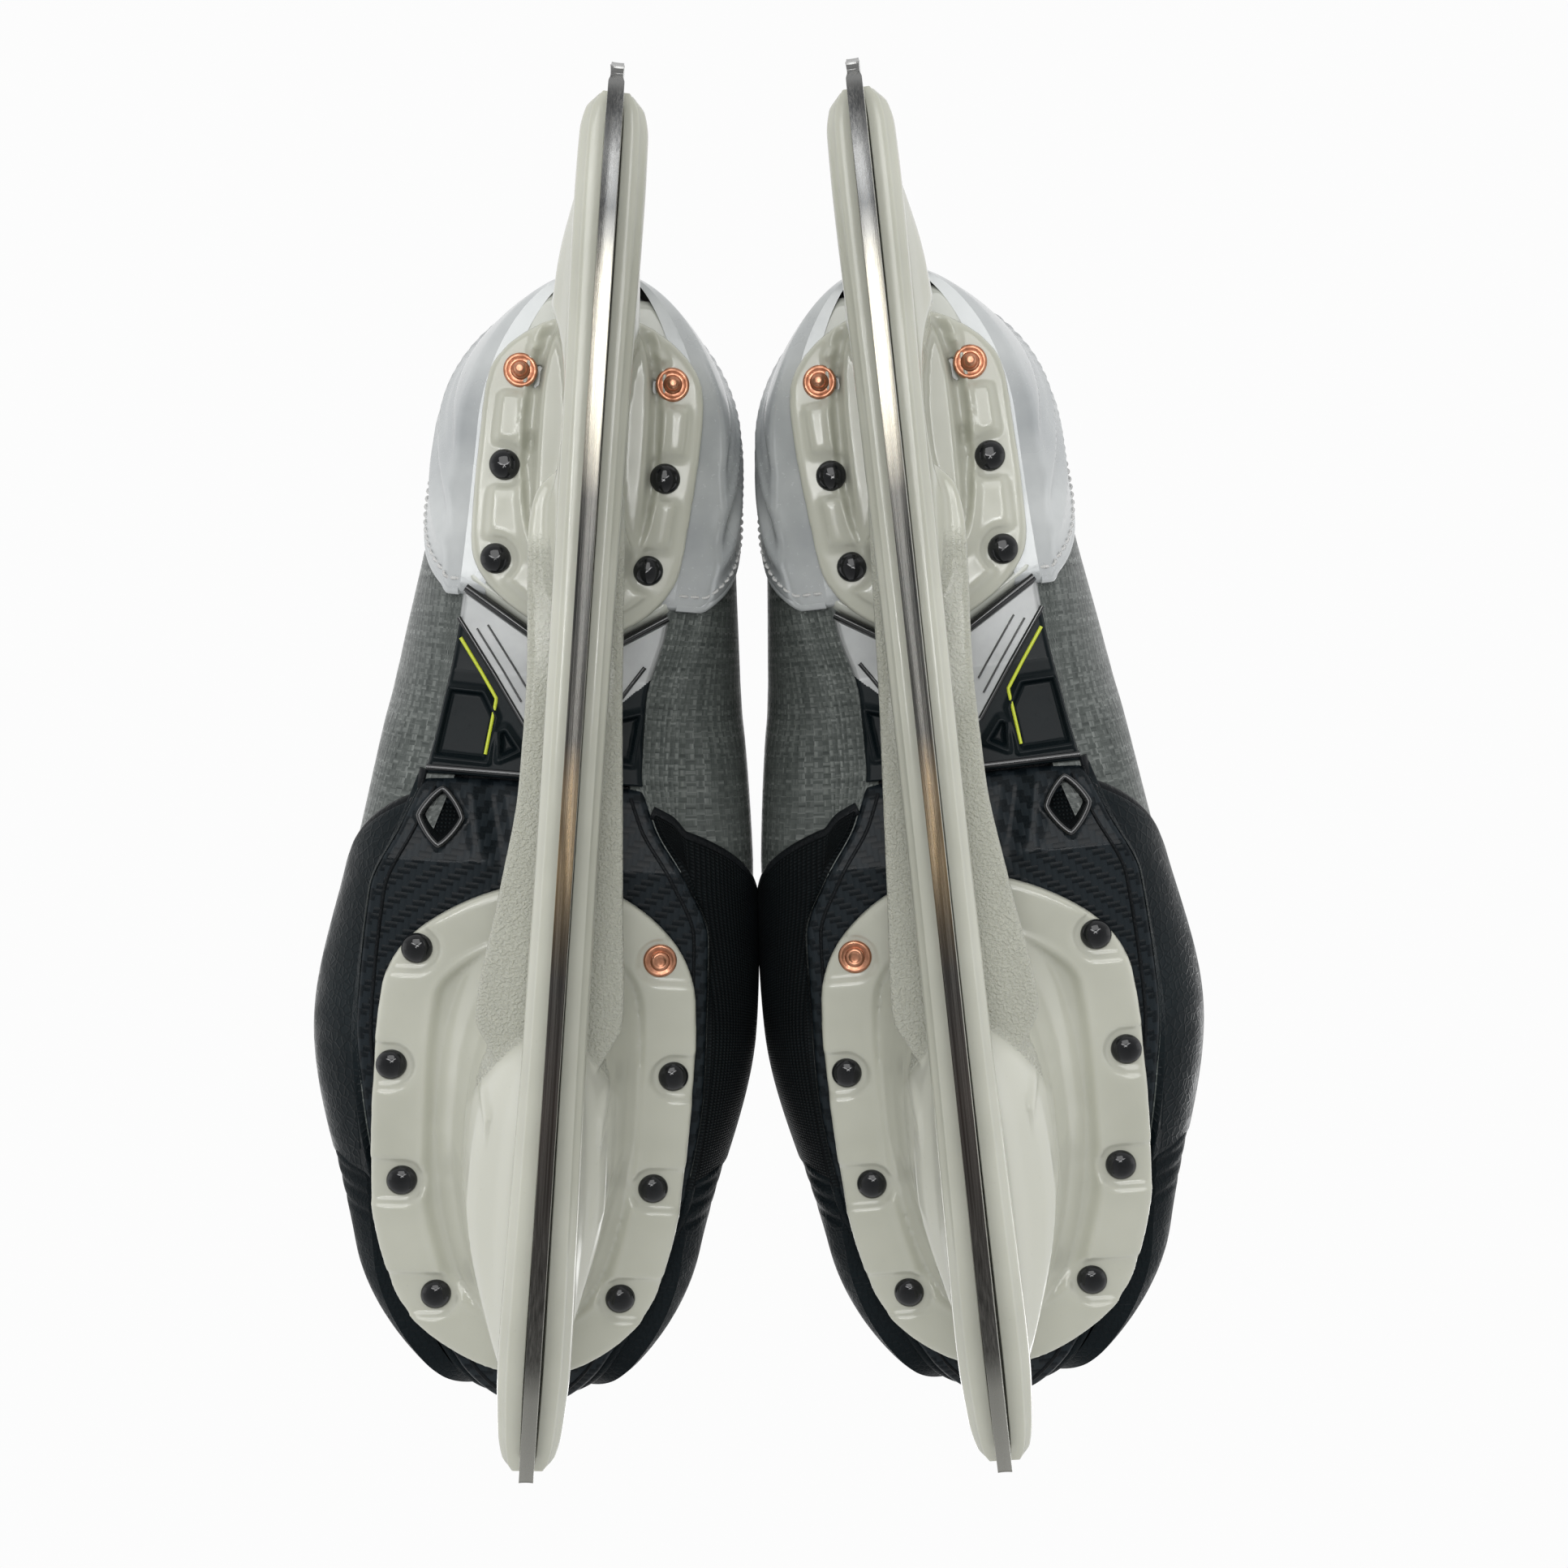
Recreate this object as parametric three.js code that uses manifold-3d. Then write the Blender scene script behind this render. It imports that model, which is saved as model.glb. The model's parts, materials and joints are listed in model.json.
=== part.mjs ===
import * as THREE from "three";
import { mergeVertices } from "three/addons/utils/BufferGeometryUtils.js";
import Module from "manifold-3d";

// A pair of ice hockey skates, in millimetres.
// One skate is modelled in its own frame: the blade stands in the plane x = 0, +x is the
// outer side of the foot, +y points to the heel and z = 0 is the ice. The pair is that skate
// and its mirror image, turned toe-out and leaning outward, as two skates stand by themselves.

// Fits
const gap = 0.3; // between pieces that touch
const slideGap = 0.35; // each side of the steel in its channel

// Stance of the pair
const bladeSpacing = 70; // between the two blades at their middles
const toeOutAngle = 5.7; // degrees
const leanAngle = 6; // degrees, each boot outward

// Steel runner
const runnerLength = 282;
const runnerMiddle = 1; // along y
const runnerThickness = 3;
const runnerShown = 15; // steel below the holder
const runnerHidden = 10; // steel inside the holder's channel
const runnerFlatLength = 150; // straight stretch that touches the ice
const runnerTipRise = 8; // lower edge at each end of the runner
const rearTipReach = 2.8; // steel that stands out behind the holder
const frontTipReach = 1.6; // holder's nose beyond the steel

// Holder
const railWidth = 13;
const railHeight = 19; // from the channel's mouth to the bridge
const noseWidth = 18;
const bridgeThickness = 4;
const bridgeFrontWidth = 31;
const bridgeRearWidth = 21;
const flangeThickness = 3.6;
const frontFlangeLength = 118;
const frontFlangeWidth = 73;
const frontFlangeSetback = 12; // behind the boot's toe end
const rearFlangeLength = 80;
const rearFlangeWidth = 52;
const rearFlangeSetback = 9; // in front of the boot's heel end
const pedestalWall = 3;
const frontHeight = 55; // ice to the underside of the sole, at the ball of the foot
const heelRise = 15; // how much higher the sole is at the heel

// Boot
const bootLength = 267;
const heelEnd = 115; // along y
const bootWidth = 110; // over the ball of the foot
const soleThickness = 3;
const toeSpring = 4;
const shellWall = 3;
const counterThickness = 1.4;
const linerThickness = 6;
const footbedThickness = 4;
const tongueThickness = 8;
const tongueRise = 32; // above the collar
const counterFoot = 1; // heel counter's lower edge above the sole
const counterSetback = 15; // its front corner behind the rear flange's front end
const collarHeight = 148; // above the sole, at the front
const guardHeight = 195; // tendon guard's top above the sole
const toeCapShare = 0.27; // of the boot's length

// Fasteners
const rivetHeadRadius = 3.45;
const rivetHeadHeight = 1.7;
const rivetShankRadius = 2;
const frontRivetSpacing = 27.2;
const firstRivetInset = 19.5; // from the front flange's toe end
const rearRivetSpacing = 21.2;
const lastRivetInset = 14.3; // from the rear flange's heel end
const ventWidth = 9;
const ventLength = 13;
const ventMargin = 3; // from the sole's outer edge

// Blade release
const triggerWidth = 6;
const triggerSlotClearance = 0.4;
const pinRadius = 1.4;
const pinReach = 7.5; // half of the pin's length
const springThickness = 0.7;
const fingerWindowLength = 30;
const fingerWindowHeight = 18;

const wasm = await Module();
wasm.setup();

const toeEnd = heelEnd - bootLength;
const cutReach = 120; // how far a cutter reaches to each side, past everything

// Outlines run from the toe, station 0, to the heel, station 1. Each entry is
// [station, half-width as a share of the boot's width], on the outer and inner side.
const wideOuter = [
  [0, 0.35], [0.15, 0.455], [0.34, 0.555], [0.49, 0.495], [0.64, 0.42], [0.79, 0.358], [1, 0.3],
];
const wideInner = [
  [0, 0.32], [0.15, 0.4], [0.34, 0.445], [0.49, 0.41], [0.64, 0.372], [0.79, 0.326], [1, 0.27],
];
const soleOuter = [
  [0, 0.29], [0.15, 0.35], [0.34, 0.405], [0.49, 0.35], [0.6, 0.295], [0.79, 0.288], [1, 0.245],
];
const soleInner = [
  [0, 0.26], [0.15, 0.29], [0.34, 0.312], [0.49, 0.24], [0.6, 0.222], [0.79, 0.268], [1, 0.23],
];
// Height of the boot's top line above its floor, by station; the ankle runs on upward.
const topLine = [
  [0, 40], [0.08, 54], [0.25, 63], [0.42, 82], [0.5, 97], [0.56, 118], [0.6, 150], [0.63, 205],
  [1, 205],
];
// How square the boot's cross-section is, by station: 2 is an ellipse.
const squareness = [[0, 2.2], [0.25, 1.9], [0.5, 1.75], [0.63, 2.6], [1, 3.2]];
// How far the back of the heel moves forward, by height.
const heelCurve = [[0, 0], [40, 0], [95, 9], [150, 6], [205, 0]];
const shoulderHeight = 30; // where the boot is widest

function along(table, position) {
  let upper = table.findIndex((entry) => entry[0] >= position);
  if (upper < 0) upper = table.length - 1;
  const lower = Math.max(upper - 1, 0);
  const [from, to] = [table[lower], table[Math.max(upper, 1)]];
  const share = THREE.MathUtils.clamp((position - from[0]) / (to[0] - from[0]), 0, 1);
  return THREE.MathUtils.lerp(from[1], to[1], share);
}

const stationOf = (y) => (y - toeEnd) / bootLength;
const yOf = (station) => toeEnd + station * bootLength;
// How wide an end that is rounded over the length reach is, from 0 at its tip to 1.
function roundEnd(distance, reach) {
  const share = THREE.MathUtils.clamp(distance / reach, 0, 1);
  return Math.sqrt(1 - (1 - share) ** 2);
}

// Where the holder's flanges sit under the boot.
const frontFlangeStart = toeEnd + frontFlangeSetback;
const frontFlangeEnd = frontFlangeStart + frontFlangeLength;
const rearFlangeEnd = heelEnd - rearFlangeSetback;
const rearFlangeStart = rearFlangeEnd - rearFlangeLength;

// Underside of the sole: level over the front flange, a ramp, level over the rear flange.
// It is straight between its breaks, so pieces that lie along it meet everywhere.
const rampClearance = 3;
const soleBreaks = [
  [toeEnd, frontHeight + toeSpring],
  [frontFlangeStart, frontHeight],
  [frontFlangeEnd + rampClearance, frontHeight],
  [rearFlangeStart - rampClearance, frontHeight + heelRise],
  [heelEnd, frontHeight + heelRise],
];
const soleLine = (y) => along(soleBreaks, y);
const floorLine = (y) => soleLine(y) + soleThickness + gap;

// --- Solids ---

function solidFromGeometry(geometry) {
  const plain = geometry.clone();
  plain.deleteAttribute("normal");
  plain.deleteAttribute("uv");
  const merged = mergeVertices(plain, 1e-4);
  const mesh = new wasm.Mesh({
    numProp: 3,
    vertProperties: new Float32Array(merged.attributes.position.array),
    triVerts: new Uint32Array(merged.index.array),
  });
  return new wasm.Manifold(mesh);
}

function geometryFromSolid(solid) {
  const mesh = solid.getMesh();
  const geometry = new THREE.BufferGeometry();
  geometry.setAttribute("position", new THREE.BufferAttribute(new Float32Array(mesh.vertProperties), 3));
  geometry.setIndex(new THREE.BufferAttribute(new Uint32Array(mesh.triVerts), 1));
  return geometry;
}

// A closed solid through rings that all have the same number of points. The rings run in the
// order that turns their faces outward.
function loft(rings) {
  const count = rings[0].length;
  const positions = rings.flat().flatMap((point) => [point.x, point.y, point.z]);
  const index = [];
  for (let ring = 0; ring + 1 < rings.length; ring += 1) {
    for (let i = 0; i < count; i += 1) {
      const a = ring * count + i;
      const b = ring * count + ((i + 1) % count);
      index.push(a, a + count, b, b, a + count, b + count);
    }
  }
  const last = (rings.length - 1) * count;
  for (let i = 1; i + 1 < count; i += 1) {
    index.push(0, i, i + 1);
    index.push(last, last + i + 1, last + i);
  }
  const geometry = new THREE.BufferGeometry();
  geometry.setAttribute("position", new THREE.Float32BufferAttribute(positions, 3));
  geometry.setIndex(index);
  return solidFromGeometry(geometry);
}

// A side view, given as [y, z] points, pushed through the skate from x = from to x = to.
function sideSolid(points, from = -cutReach, to = cutReach) {
  const shape = new THREE.Shape(points.map(([y, z]) => new THREE.Vector2(y, z)));
  const geometry = new THREE.ExtrudeGeometry(shape, { depth: to - from, bevelEnabled: false });
  const upright = new THREE.Matrix4().makeBasis(
    new THREE.Vector3(0, 1, 0),
    new THREE.Vector3(0, 0, 1),
    new THREE.Vector3(1, 0, 0),
  );
  geometry.applyMatrix4(upright);
  geometry.translate(from, 0, 0);
  return solidFromGeometry(geometry);
}

// A plan, given as [x, y] points, pushed through the skate from below the ice to above the boot.
function planSolid(points) {
  const shape = new THREE.Shape(points.map(([x, y]) => new THREE.Vector2(x, y)));
  return solidFromGeometry(new THREE.ExtrudeGeometry(shape, { depth: 4 * cutReach, bevelEnabled: false }));
}

function boxSolid(xRange, yRange, zRange) {
  const ranges = [xRange, yRange, zRange];
  const geometry = new THREE.BoxGeometry(...ranges.map(([low, high]) => high - low));
  geometry.translate(...ranges.map(([low, high]) => (low + high) / 2));
  return solidFromGeometry(geometry);
}

function postSolid(radius, x, y, zRange, sides = 6) {
  const geometry = new THREE.CylinderGeometry(radius, radius, zRange[1] - zRange[0], sides);
  geometry.rotateX(Math.PI / 2);
  geometry.translate(x, y, (zRange[0] + zRange[1]) / 2);
  return solidFromGeometry(geometry);
}

// --- Boot ---

// Plates under the boot end at these stations.
const outsoleEnd = 0.565;
const chevronEnd = 0.721;
const heelPlateEnd = 0.985;

// Stations close up towards the two rounded ends, and include every break of the sole.
const evenStations = [
  0.002, 0.02, 0.06, 0.13, 0.24, 0.34, 0.43, 0.53, 0.6, 0.625, 0.75, 0.85, 0.93, 0.975, 0.998,
];
const breakStations = soleBreaks.slice(1, -1).map(([y]) => stationOf(y));
const fixedStations = [...breakStations, outsoleEnd, chevronEnd, heelPlateEnd];
const closest = 0.008;
const bootStations = [
  ...fixedStations,
  ...evenStations.filter((station) => fixedStations.every((fixed) => Math.abs(fixed - station) > closest)),
].sort((a, b) => a - b);
const toeRound = 38;
const heelRound = 36;
const archSteps = 5;
const toeTipLift = 10; // how far the toe's tip turns up
const toeTipReach = 12;
const toeTipTop = 0.55; // height of the toe's tip, as a share of the top line

function sectionRing(station, inset) {
  const innerLength = bootLength - 2 * inset;
  const fromToe = station * innerLength;
  const y = toeEnd + inset + fromToe;
  const toeShare = roundEnd(fromToe, toeRound);
  const round = toeShare * roundEnd(innerLength - fromToe, heelRound);
  const toeLift = toeTipLift * (1 - roundEnd(fromToe, toeTipReach));
  const floor = floorLine(y) + inset + toeLift;
  const top = along(topLine, station) * THREE.MathUtils.lerp(toeTipTop, 1, toeShare) - inset;
  const shoulder = inset + THREE.MathUtils.lerp(shoulderHeight, top / 2, 0.25);
  const power = 2 / along(squareness, station);
  const halfRing = (wide, sole, side) => {
    const wideHalf = (along(wide, station) * bootWidth - inset) * round;
    const soleHalf = (along(sole, station) * bootWidth - inset) * round;
    const points = [];
    for (const [lift, share] of [[0, 0], [4, 0.5], [13, 0.85]]) {
      points.push([side * THREE.MathUtils.lerp(soleHalf, wideHalf, share), inset + lift]);
    }
    for (let step = 0; step < archSteps; step += 1) {
      const angle = (step / archSteps) * (Math.PI / 2);
      const across = Math.cos(angle) ** power;
      const up = Math.sin(angle) ** power;
      points.push([side * wideHalf * across, shoulder + (top - shoulder) * up]);
    }
    return points;
  };
  const outer = halfRing(wideOuter, soleOuter, 1);
  const inner = halfRing(wideInner, soleInner, -1).reverse();
  const backShare = THREE.MathUtils.smoothstep(station, 0.6, 1);
  return [...outer, [0, top], ...inner].map(([x, height]) => {
    const forward = along(heelCurve, height) * backShare;
    return new THREE.Vector3(x, y - forward, floor - inset + height);
  });
}

const bootSolid = (inset) => loft(bootStations.map((station) => sectionRing(station, inset)));
const sidePoint = (station, height) => [yOf(station), floorLine(yOf(station)) + height];

// Edge of the throat in side view, from the toe cap up to the front of the collar.
const throatStations = [toeCapShare, 0.34, 0.42, 0.5, 0.56];
const throatShare = 0.84; // of the way from the widest level to the top line
function throatHeight(station) {
  return shoulderHeight + throatShare * (along(topLine, station) - shoulderHeight);
}
const throatEdge = throatStations.map((station) => sidePoint(station, throatHeight(station)));
const collarEdge = [
  sidePoint(0.63, collarHeight),
  sidePoint(0.69, collarHeight - 1),
  sidePoint(0.77, collarHeight - 16),
  sidePoint(0.9, collarHeight - 11),
  sidePoint(1.1, collarHeight - 6),
];
const bootBottom = [sidePoint(1.1, -20), sidePoint(0.72, -10), sidePoint(0.48, -20)];

const shift = (points, dy, dz) => points.map(([y, z]) => [y + dy, z + dz]);

function makeBoot() {
  const outer = bootSolid(0);
  const wall = outer.subtract(bootSolid(shellWall));

  // The toe cap ends in a line that leans back towards the top.
  const capTop = sidePoint(toeCapShare, 90);
  const capBottom = sidePoint(toeCapShare - 0.06, -20);
  const frontOfToe = toeEnd - 20;
  const toeZone = sideSolid([[frontOfToe, capBottom[1]], capBottom, capTop, [frontOfToe, capTop[1]]]);
  const toeCap = wall.intersect(toeZone);

  const [capBottomBack, capTopBack] = shift([capBottom, capTop], gap, 0);
  const seamHeight = throatEdge[0][1];
  const seamShare = (seamHeight - capBottom[1]) / (capTop[1] - capBottom[1]);
  const throatStart = [THREE.MathUtils.lerp(capBottomBack[0], capTopBack[0], seamShare), seamHeight];
  const quarterSide = [capBottomBack, throatStart, ...throatEdge.slice(1), ...collarEdge, ...bootBottom];
  const quarterZone = sideSolid(quarterSide);
  const quarter = wall.intersect(quarterZone);

  // The counter cover is laid over the outside of the lower heel, behind the sole's ramp.
  const counterFront = stationOf(rearFlangeStart + counterSetback);
  const counterZone = sideSolid([
    sidePoint(1.1, counterFoot),
    sidePoint(1.1, 88),
    sidePoint(0.95, 82),
    sidePoint(0.85, 36),
    sidePoint(counterFront + 0.05, 14),
    sidePoint(counterFront, counterFoot),
  ]);
  const heelCounter = bootSolid(-gap - counterThickness).subtract(bootSolid(-gap)).intersect(counterZone);

  // The tendon guard stands on the collar's back edge.
  const guardBase = sidePoint(0.86, collarHeight - 13.5);
  const guardZone = sideSolid([
    [guardBase[0], guardBase[1] + gap + 2],
    [yOf(0.9), collarEdge[3][1] + gap],
    [collarEdge[4][0], collarEdge[4][1] + gap],
    sidePoint(1.1, guardHeight),
    sidePoint(0.93, guardHeight),
    sidePoint(0.88, guardHeight - 16),
  ]);
  const tendonGuard = wall.intersect(guardZone);

  // The tongue fills the throat, between its edges, and stands above the collar.
  const tongueTop = collarHeight + tongueRise;
  const tongueFront = shift([throatStart, capTopBack], 2 * gap, gap);
  const tongueZone = sideSolid([
    tongueFront[0],
    ...shift([...throatEdge.slice(1), sidePoint(0.625, collarHeight)], -gap, gap),
    sidePoint(0.65, tongueTop),
    [tongueFront[1][0], sidePoint(0.65, tongueTop)[1]],
    tongueFront[1],
  ]);
  const underTongue = outer.translate(0, tongueThickness * Math.SQRT1_2, -tongueThickness * Math.SQRT1_2);
  const tongue = outer.subtract(underTongue).intersect(tongueZone);

  // The lining covers the inside of the ankle and heel, clear of the tongue and the footbed.
  const linerInset = shellWall + gap;
  const footbedTop = linerInset + footbedThickness;
  const linerBottom = footbedTop + gap;
  const linerZone = sideSolid([
    sidePoint(0.4, linerBottom),
    ...shift([sidePoint(0.4, throatHeight(0.4)), ...throatEdge.slice(2)], gap, -gap),
    ...shift(collarEdge, 0, -gap),
    sidePoint(1.1, linerBottom),
    ...breakStations.slice(1).reverse().map((station) => sidePoint(station, linerBottom)),
  ]);
  const liner = bootSolid(linerInset).subtract(bootSolid(linerInset + linerThickness)).intersect(linerZone);

  const bedLine = (height) => [0.03, ...breakStations, 0.96].map((station) => sidePoint(station, height));
  const footbedZone = sideSolid([...bedLine(footbedTop), ...bedLine(0).reverse()]);
  const footbed = bootSolid(linerInset).intersect(footbedZone);

  return { toeCap, quarter, heelCounter, tendonGuard, tongue, liner, footbed };
}

// --- Plates under the boot ---

// The whole layer under the boot, from the toe to the heel.
function soleLayer() {
  const rings = bootStations.filter((station) => station <= heelPlateEnd).map((station) => {
    const y = yOf(station);
    const fromToe = station * bootLength;
    const round = roundEnd(fromToe, toeRound) * roundEnd(bootLength - fromToe, heelRound);
    const outerHalf = along(soleOuter, station) * bootWidth * round;
    const innerHalf = along(soleInner, station) * bootWidth * round;
    const bottom = soleLine(y);
    return [
      new THREE.Vector3(outerHalf, y, bottom),
      new THREE.Vector3(outerHalf, y, bottom + soleThickness),
      new THREE.Vector3(-innerHalf, y, bottom + soleThickness),
      new THREE.Vector3(-innerHalf, y, bottom),
    ];
  });
  return loft(rings);
}
const chevronDraw = 17; // how far the heel plate's nose runs forward of its sides

function rivetPlaces() {
  const frontStart = frontFlangeStart + firstRivetInset;
  // Distances from the middle to the outer and inner rivet of each row, as shares of the width.
  const frontColumns = [[0.329, 0.255], [0.453, 0.334], [0.504, 0.373], [0.445, 0.304]];
  const rearStart = rearFlangeEnd - lastRivetInset;
  const rearColumns = [[0.346, 0.313], [0.39, 0.31], [0.406, 0.263]];
  const places = [];
  const add = (name, x, y, metal) => places.push({ name, x, y, metal });
  frontColumns.forEach(([outerX, innerX], row) => {
    const y = frontStart + row * frontRivetSpacing;
    add(`front_outer_rivet_${row + 1}`, outerX * frontFlangeWidth, y, "steel");
    add(`front_inner_rivet_${row + 1}`, -innerX * frontFlangeWidth, y, row === 3 ? "copper" : "steel");
  });
  rearColumns.forEach(([outerX, innerX], row) => {
    const y = rearStart - row * rearRivetSpacing;
    const metal = row === 0 ? "copper" : "steel";
    add(`rear_outer_rivet_${row + 1}`, outerX * rearFlangeWidth, y, metal);
    add(`rear_inner_rivet_${row + 1}`, -innerX * rearFlangeWidth, y, metal);
  });
  return places;
}
const rivets = rivetPlaces();

function drillRivetHoles(solid) {
  let drilled = solid;
  for (const { x, y } of rivets) {
    const reach = [soleLine(y) - 12, soleLine(y) + soleThickness + 12];
    drilled = drilled.subtract(postSolid(rivetShankRadius + gap, x, y, reach));
  }
  return drilled;
}

// Room for a rivet's head and its setting tool where it stands close to a tower.
function clearRivetHeads(solid) {
  const pocketDepth = 14;
  let cleared = solid;
  for (const { x, y } of rivets) {
    const seat = soleLine(y) - gap - flangeThickness;
    cleared = cleared.subtract(postSolid(rivetHeadRadius + 3 * gap, x, y, [seat - pocketDepth, seat], 8));
  }
  return cleared;
}

function makeRivet({ x, y }) {
  const flangeBottom = soleLine(y) - gap - flangeThickness;
  const shankTop = soleLine(y) + soleThickness - gap;
  const profile = [
    new THREE.Vector2(0, -rivetHeadHeight - gap),
    new THREE.Vector2(rivetHeadRadius * 0.72, -rivetHeadHeight * 0.7 - gap),
    new THREE.Vector2(rivetHeadRadius, -gap),
    new THREE.Vector2(rivetShankRadius, -gap),
    new THREE.Vector2(rivetShankRadius, shankTop - flangeBottom),
    new THREE.Vector2(0, shankTop - flangeBottom),
  ];
  const geometry = new THREE.LatheGeometry(profile, 8);
  geometry.rotateX(Math.PI / 2);
  geometry.translate(x, y, flangeBottom);
  return solidFromGeometry(geometry);
}

function makePlates() {
  const vent = new THREE.CylinderGeometry(1, 1, 4 * soleThickness, 4);
  vent.rotateX(Math.PI / 2);
  vent.scale(ventWidth / 2, ventLength / 2, 1);
  const ventY = yOf(outsoleEnd) - ventWidth;
  const soleEdge = along(soleOuter, stationOf(ventY)) * bootWidth;
  vent.translate(soleEdge - ventWidth / 2 - ventMargin, ventY, soleLine(ventY));
  const layer = soleLayer();
  const [left, right] = [-cutReach, cutReach];
  const chevron = (dy) => {
    const side = yOf(chevronEnd) + dy;
    const slope = (chevronDraw / bootWidth) * 4;
    const nose = side - chevronDraw;
    return [[right, nose + slope * right], [0, nose], [left, nose - slope * left]];
  };
  const outsoleLine = yOf(outsoleEnd);
  const past = cutReach + bootLength;
  const front = toeEnd - 1;
  const outsoleZone = planSolid([[left, front], [right, front], [right, outsoleLine], [left, outsoleLine]]);
  const shankStart = outsoleLine + gap;
  const shankZone = planSolid([[left, shankStart], [right, shankStart], ...chevron(0)]);
  const heelZone = planSolid([...chevron(gap).reverse(), [right, past], [left, past]]);
  const outsole = drillRivetHoles(layer.intersect(outsoleZone)).subtract(solidFromGeometry(vent));
  const shankPanel = layer.intersect(shankZone);
  const heelPlate = drillRivetHoles(layer.intersect(heelZone));
  return { outsole, shankPanel, heelPlate };
}

// --- Holder ---

const runnerFront = runnerMiddle - runnerLength / 2;
const runnerRear = runnerMiddle + runnerLength / 2;
const channelMouth = runnerShown;
const channelTop = runnerShown + runnerHidden + gap;
const railTop = channelMouth + railHeight;
const holderFront = runnerFront - frontTipReach;
const holderRear = runnerRear - rearTipReach;
const bladeRise = 5; // the holder's ends sweep up by this much
const flangeToSplit = 2; // from the front flange's heel end to where the holder is divided

// A tower between two rectangles with cut corners, each given as x and y ranges at a height.
function tower(lower, upper) {
  const ring = ({ x, y, z, corner }) => [
    [x[1], y[0] + corner], [x[1], y[1] - corner], [x[1] - corner, y[1]], [x[0] + corner, y[1]],
    [x[0], y[1] - corner], [x[0], y[0] + corner], [x[0] + corner, y[0]], [x[1] - corner, y[0]],
  ].map(([px, py]) => new THREE.Vector3(px, py, z));
  return loft([ring(upper), ring(lower)].reverse().map((points) => points.reverse()));
}

function rail() {
  const length = holderRear - holderFront;
  // Width by share of the length: a broad nose, a slimmer middle and a rounded rear end.
  const widths = [
    [0, 0.36 * noseWidth], [0.015, 0.8 * noseWidth], [0.06, noseWidth], [0.16, 0.93 * noseWidth],
    [0.35, railWidth], [0.8, 1.025 * railWidth],
    [0.93, 1.165 * railWidth], [0.985, 1.04 * railWidth], [1, 0.62 * railWidth],
  ];
  const rings = widths.map(([share, width]) => {
    const y = holderFront + share * length;
    const half = width / 2;
    const endShare = Math.abs(2 * share - 1) ** 8;
    const bottom = channelMouth + bladeRise * endShare;
    const top = railTop - 3 * endShare;
    return [
      new THREE.Vector3(half * 0.8, y, bottom),
      new THREE.Vector3(half, y, bottom + 4),
      new THREE.Vector3(half, y, top - 3),
      new THREE.Vector3(half * 0.7, y, top),
      new THREE.Vector3(-half * 0.7, y, top),
      new THREE.Vector3(-half, y, top - 3),
      new THREE.Vector3(-half, y, bottom + 4),
      new THREE.Vector3(-half * 0.8, y, bottom),
    ];
  });
  return loft(rings);
}

function flange(front, length, outer, inner, top, rearRound, frontRound) {
  const stations = [0.005, 0.04, 0.12, 0.3, 0.5, 0.7, 0.88, 0.96, 0.995];
  const rings = stations.map((station) => {
    const y = front + station * length;
    const round = roundEnd(station * length, frontRound) * roundEnd((1 - station) * length, rearRound);
    const outerHalf = along(outer, station) * round;
    const innerHalf = along(inner, station) * round;
    return [
      new THREE.Vector3(outerHalf, y, top - flangeThickness),
      new THREE.Vector3(outerHalf, y, top),
      new THREE.Vector3(-innerHalf, y, top),
      new THREE.Vector3(-innerHalf, y, top - flangeThickness),
    ];
  });
  return loft(rings);
}

const frontFlangeTop = frontHeight - gap;
const rearFlangeTop = frontHeight + heelRise - gap;

// The release sits in the rear tower: a through window for a finger, and a slot behind it.
const pinY = rearFlangeEnd - 4;
const pinZ = railTop + 12;
const windowRear = pinY - 8;
const windowRange = {
  y: [windowRear - fingerWindowLength, windowRear],
  z: [railTop + 4, railTop + 4 + fingerWindowHeight],
};
const slotHalf = triggerWidth / 2 + triggerSlotClearance;
const slotRear = pinY + 8;

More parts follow.
